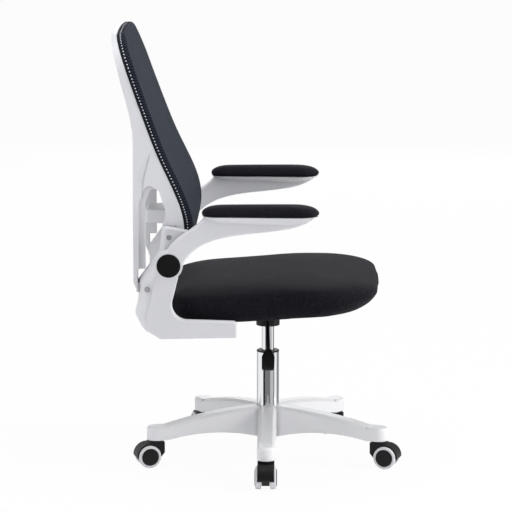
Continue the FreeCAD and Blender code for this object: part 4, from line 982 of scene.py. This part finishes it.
@dataclass
class Back(SubAssembly):
    """White arch with its black carrier ring and the stretched net."""

    prefixes: tuple[str, ...] = ("back_frame", "back_mesh", "mesh_band", "lumbar_support")
    line: Line = (
        (-0.190, 0.470), (-0.1847, 0.497), (-0.175, 0.556), (-0.189, 0.620), (-0.226, 0.700),
        (-0.258, 0.780), (-0.287, 0.860), (-0.301, 0.900), (-0.315, 0.940), (-0.331, 0.999),
    )
    section: Line = (
        (-0.0009, 0.0025), (-0.0010, 0.0080), (-0.0009, 0.0135), (0.0004, 0.0170),
        (0.0028, 0.0187), (0.0070, 0.0192), (0.0110, 0.0191), (0.0150, 0.0189),
    )
    sag: float = 0.002
    thickness: float = 0.0011
    edge_rings: int = 20
    inner_rings: int = 64
    line_steps: int = 400
    far: float = 1.0
    bottom: float = 0.500
    waist: float = 0.600
    waist_round: float = 0.180
    top: float = 0.959
    arch: float = 0.007
    half_low: float = 0.205
    half_waist: float = 0.238
    half_top: float = 0.205
    corner_low: float = 0.060
    corner_top: float = 0.095
    crease: Line = ((-0.2622, 0.650), *CREASE)
    lip_rings: int = 48
    lip_steps: tuple[float, ...] = (0.0, 0.015, 0.05, 0.1, 0.2, 0.35, 0.5, 0.65, 0.8, 1.0)
    lip_height: float = 0.0018
    lip_width: float = 0.014
    lip_front: float = 0.7
    lip_fade: float = 0.012
    lip_sink: float = 0.0001
    lip_root: float = 0.0006

    def depth_at(self, height: Array) -> Array:
        """Depth x of the S-shaped back line at given heights: a spline through its points."""
        depth, level = np.array(self.line).T
        return spline(level, depth, height)

    def climb_at(self, height: Array) -> Array:
        """Length of cloth along the back line at given heights: the running sum of short steps.

        Args:
            height: the heights, shape (n,).

        Returns:
            The lengths, shape (n,).
        """
        level = np.linspace(self.line[0][1], self.line[-1][1], self.line_steps)
        climb = np.hypot(np.gradient(self.depth_at(level)), np.gradient(level)).cumsum()
        return np.interp(height, level, climb)

    def outlines(self, inset: Array) -> Array:
        """Front outlines of the back, drawn in by even widths.

        Args:
            inset: the widths, shape (n,).

        Returns:
            Points (y, z) of every outline, counter-clockwise from the front, shape (n, k, 2).
        """
        zero = np.zeros_like(inset)
        low, waist = self.half_low - inset, self.half_waist - inset
        high, mid = self.half_top - inset, np.full_like(inset, self.waist)
        bottom, top = self.bottom + inset, self.top - inset
        corners = corner_points((-low, bottom), (low, bottom), (waist, mid), (high, top),
                                (zero, top + self.arch), (-high, top), (-waist, mid))
        foot, head = self.corner_low - inset, self.corner_top - inset
        side, crown = zero + self.waist_round, zero + self.half_top**2 / (4 * self.arch)
        radii = np.stack([foot, foot, side, head, crown, head, side], 1)
        return rounded_rings(corners, radii, arc=16, run=14)

    def build(self) -> None:
        """Build the net and the raised panel edge of both sides."""
        self._net()
        for side in Side:
            self._panel_edge(side)

    def _panel_edge(self, side: Side) -> None:
        """Build the raised edge of the upper panel: a wedge along the crease of the frame's side.

        Its rings are level sections that rise along the crease, a spline through its points. Across
        a section the rise is the height times (1 - v) squared, v running rearwards over the width,
        a little less on the very front, and it fades to nothing at both ends. The wedge stands on
        the frame's straight side and reaches a root's depth into it.

        Args:
            side: the side it lies on.
        """
        knots = np.array(self.crease)
        z = np.linspace(knots[0, 1], knots[-1, 1], self.lip_rings)[:, None]
        front = spline(knots[:, 1], knots[:, 0], z[:, 0])[:, None]
        v = np.array(self.lip_steps)
        fade = np.clip(np.minimum(z - z[0], z[-1] - z) / self.lip_fade, 0.0, 1.0)
        rise = self.lip_height * (1 - v) ** 2 * np.where(v > 0, 1.0, self.lip_front) * fade
        taper = (z - self.waist) / (self.top - self.waist)
        plain = self.half_waist - (self.half_waist - self.half_top) * taper
        x = front - self.lip_width * v
        root = np.broadcast_to(plain - self.lip_root, rise.shape)
        y = np.concatenate([plain + rise - self.lip_sink, root], 1)
        x = np.concatenate([x, x[:, ::-1]], 1)
        rings = np.stack([x, side.value * y, np.broadcast_to(z, x.shape)], -1)[:, :: side.value]
        rows, columns = rings.shape[:2]
        first = np.arange(columns)
        caps = [first[::-1].tolist(), (first + (rows - 1) * columns).tolist()]
        faces = ring_faces(rows, columns).tolist() + caps
        edge = mesh_object(f"panel_edge_{side.name.lower()}", rings.reshape(-1, 3), faces)
        self.enter(edge, "seat", Slot.WHITE)

    def _net(self) -> None:
        """Build the net: rings that turn round the carrier's edge, then shrink to the middle.

        The edge rings follow a rounded section of inset and depth. The inner ones are copies of the
        last edge ring, drawn to its middle, and the depth sinks as a parabola. Depth is added to
        the S-shaped back line. On the flat cloth the edge rings lie side by side.
        """
        knots = np.array(self.section)
        length = run_length(knots)
        reach = np.linspace(0, length[-1], self.edge_rings)
        inset, depth = spline(length, knots, reach).T
        shrink = np.linspace(1, 0, self.inner_rings + 2)[1:-1]
        edge, spread = self.outlines(inset), self.outlines(inset[-1] - length[-1] + reach)
        middle = edge[-1].mean(0)
        inner = middle + (edge[-1] - middle) * shrink[:, None, None]
        yz, flat = np.concatenate([edge, inner]), np.concatenate([spread, inner])
        deep = np.concatenate([depth, depth[-1] - self.sag * (1 - shrink**2)])
        rows, columns = yz.shape[:2]
        place = np.concatenate([yz.reshape(-1, 2), middle[None]])
        x = self.depth_at(place[:, 1]) + np.append(np.repeat(deep, columns), deep[-1])
        points = np.column_stack([x, place])
        quads = ring_faces(rows, columns)
        last_ring = np.arange((rows - 1) * columns, rows * columns)
        tips = pole_faces(last_ring, rows * columns, True)
        net = mesh_object("net", points, quads.tolist() + tips.tolist())
        cloth = np.concatenate([flat.reshape(-1, 2), middle[None]])
        cloth[:, 1] = self.climb_at(cloth[:, 1])
        self._unwrap(net, "flat", cloth)
        along = run_length(np.concatenate([edge[-1], edge[-1][:1]]))
        across = np.concatenate([reach, np.full(len(shrink), self.far)])
        border = np.stack(np.broadcast_arrays(along[:-1], across[:, None]), -1).reshape(-1, 2)
        border = np.concatenate([border, [[0.0, self.far]]])
        closing = np.stack([np.full(rows, along[-1]), across], -1)
        self._unwrap(net, "border", border, closing, columns)
        wall = net.modifiers.new("cloth_thickness", "SOLIDIFY")
        wall.thickness, wall.offset = self.thickness, 0.0
        self.enter(net, "seat", Slot.NET, "back_mesh")

    def _unwrap(self, net: Piece, name: str, values: Array, last: Array | None = None,
                columns: int = 0) -> None:
        """Write a UV map from values at the vertices.

        Args:
            net: the piece.
            name: the map's name.
            values: coordinates at every vertex, shape (n, 2).
            last: coordinates at each ring's first point for the faces that close the ring, shape
                (rows, 2).
            columns: points in a ring, if last is given.
        """
        layer = net.data.uv_layers.new(name=name)
        corner = np.empty(len(net.data.loops), int)
        net.data.loops.foreach_get("vertex_index", corner)
        uv = values[corner]
        if last is not None:
            count = 4 * columns * (len(last) - 1)
            quads = corner[:count].reshape(-1, 4)
            closing = np.flatnonzero(quads[:, 0] % columns == columns - 1)
            for place in (1, 2):
                uv[closing * 4 + place] = last[quads[closing, place] // columns]
        layer.data.foreach_set("uv", uv.ravel())


@dataclass
class Studio:
    """Camera, lamps, floor and pale surroundings.

    A lamp is its name, place, size and power. A card is its angle round the lift in degrees, its
    width and its tone.
    """

    eye: Triple = (0.1004, -6.2705, 1.5902)
    target: Triple = (-0.02654, 0.0, 0.45697)
    lens: float = 202.8
    sensor: float = 36.0
    sight: float = 100.0
    ambient: float = 0.38
    sky_tone: Triple = (0.96, 0.97, 1.0)
    floor_reach: float = 30.0
    floor_tone: Triple = (0.98, 0.98, 0.98)
    floor_roughness: float = 0.9
    floor_white: float = 0.95
    lamp_target: Triple = (0.0, 0.0, 0.5)
    lamps: tuple[tuple[str, Triple, float, float], ...] = (
        ("key_lamp", (4.2, -1.2, 2.9), 2.2, 98.0),
        ("front_lamp", (3.8, -0.7, 0.7), 1.3, 34.0),
        ("fill_lamp", (-4.2, -2.6, 2.2), 2.6, 42.0),
        ("top_lamp", (-0.3, -0.4, 4.2), 2.4, 52.0),
        ("far_lamp", (0.4, 4.6, 1.6), 2.6, 27.0),
    )
    cards: tuple[Triple, ...] = (
        (-37.5, 0.14, 0.015), (-2.0, 0.41, 0.2), (40.0, 0.24, 0.55), (62.5, 0.081, 0.14),
        (125.0, 0.4, 0.3), (-135.0, 0.28, 0.55),
    )
    card_distance: float = 0.42
    card_height: float = 0.6

    def build(self) -> None:
        """Build the studio."""
        self._camera()
        for name, place, size, power in self.lamps:
            self._lamp(name, place, size, power)
        for number, (angle, width, tone) in enumerate(self.cards):
            self._card(number, angle, width, tone)
        self._floor()
        self._world()
        bpy.context.scene.view_settings.view_transform = "Standard"

    def _aimed(self, item: bpy.types.ID, name: str, place: Triple, target: Triple) -> Piece:
        """Place a lamp or camera so that it looks at a point.

        Args:
            item: the lamp or camera.
            name: its object's name.
            place: where it stands.
            target: the point it looks at.

        Returns:
            The new object.
        """
        holder = bpy.data.objects.new(name, item)
        holder.location = place
        aim = Vector(target) - Vector(place)
        holder.rotation_euler = aim.to_track_quat("-Z", "Y").to_euler()
        bpy.context.scene.collection.objects.link(holder)
        return holder

    def _camera(self) -> None:
        """Camera at the photographed angle."""
        camera = bpy.data.cameras.new("camera")
        camera.sensor_width = self.sensor
        camera.lens = self.lens
        camera.clip_end = self.sight
        bpy.context.scene.camera = self._aimed(camera, "camera", self.eye, self.target)

    def _lamp(self, name: str, place: Triple, size: float, power: float) -> None:
        """Square soft lamp that looks at the chair's middle.

        Args:
            name: the lamp's name.
            place: where it stands.
            size: length of its sides.
            power: its power in watts.
        """
        lamp = bpy.data.lights.new(name, "AREA")
        lamp.size = size
        lamp.energy = power
        self._aimed(lamp, name, place, self.lamp_target)

    def _card(self, number: int, angle: float, width: float, tone: float) -> None:
        """Tall card beside the lift, with its own tone, which only polished pieces show.

        Args:
            number: the card's number.
            angle: angle round the lift in degrees, 0 on the near side.
            width: its width.
            tone: how light it looks.
        """
        t = NodeTable(bpy.data.materials.new(f"card_tone_{number}"))
        t.set_shader(Base_Color=(0.0, 0.0, 0.0), Specular_IOR_Level=0.0,
                     Emission_Color=(1.0, 1.0, 1.0), Emission_Strength=tone)
        c, s = np.cos(np.radians(angle)), np.sin(np.radians(angle))
        out, across, up = np.array([[s, -c, 0.0], [c, s, 0.0], [0.0, 0.0, 1.0]])
        sides = np.array([-1.0, 1.0, 1.0, -1.0])[:, None] * across * width / 2
        heights = np.array([0.0, 0.0, 1.0, 1.0])[:, None] * self.card_height * up
        corners = out * self.card_distance + sides + heights
        card = mesh_object(f"card_{number}", corners, [[0, 1, 2, 3]])
        card.data.materials.append(t.owner)
        card.visible_camera = card.visible_diffuse = card.visible_shadow = False

    def _seen(self, t: NodeTable) -> Socket:
        """Share that is 1 for rays that show the surroundings: seen, in gloss or through glass.

        Args:
            t: the nodes of the floor or of the world.

        Returns:
            The share's socket.
        """
        path = t.add("LightPath")
        total = path.outputs["Is Camera Ray"]
        for name in ("Is Glossy Ray", "Is Transmission Ray"):
            total = t.math("MAXIMUM", total, path.outputs[name])
        return total

    def _floor(self) -> None:
        """Wide pale floor that takes a soft shadow and looks white."""
        corners = np.array([(-1, -1, 0), (1, -1, 0), (1, 1, 0), (-1, 1, 0)], float)
        floor = mesh_object("floor", self.floor_reach * corners, [[0, 1, 2, 3]])
        t = NodeTable(bpy.data.materials.new("pale_floor"))
        t.set_shader(Base_Color=self.floor_tone, Roughness=self.floor_roughness)
        share = t.math("MULTIPLY", self._seen(t), self.floor_white)
        glow = t.add("Emission").outputs[0]
        blend = t.add("MixShader", None, {0: share, 1: t.shader.outputs[0], 2: glow})
        t.put(t.tree.nodes["Material Output"], "Surface", blend.outputs[0])
        floor.data.materials.append(t.owner)

    def _world(self) -> None:
        """White surroundings that light the chair at a plain level."""
        world = bpy.data.worlds.new("surroundings")
        bpy.context.scene.world = world
        t = NodeTable(world)
        t.set_shader(Color=self.sky_tone, Strength=t.ramp(self._seen(t), self.ambient, 1.0))


def main() -> None:
    """Build and dress the chair's groups in order, then the studio."""
    logging.basicConfig(level=logging.INFO, format="%(name)s: %(message)s")
    finishes = Finishes()
    groups: tuple[SubAssembly, ...] = (
        Undercarriage(finishes), GasLift(finishes), Seat(finishes), Arms(finishes), Back(finishes),
    )
    for group in groups:
        group.dress()
        group.build()
    Studio().build()


if __name__ == "__main__":
    main()
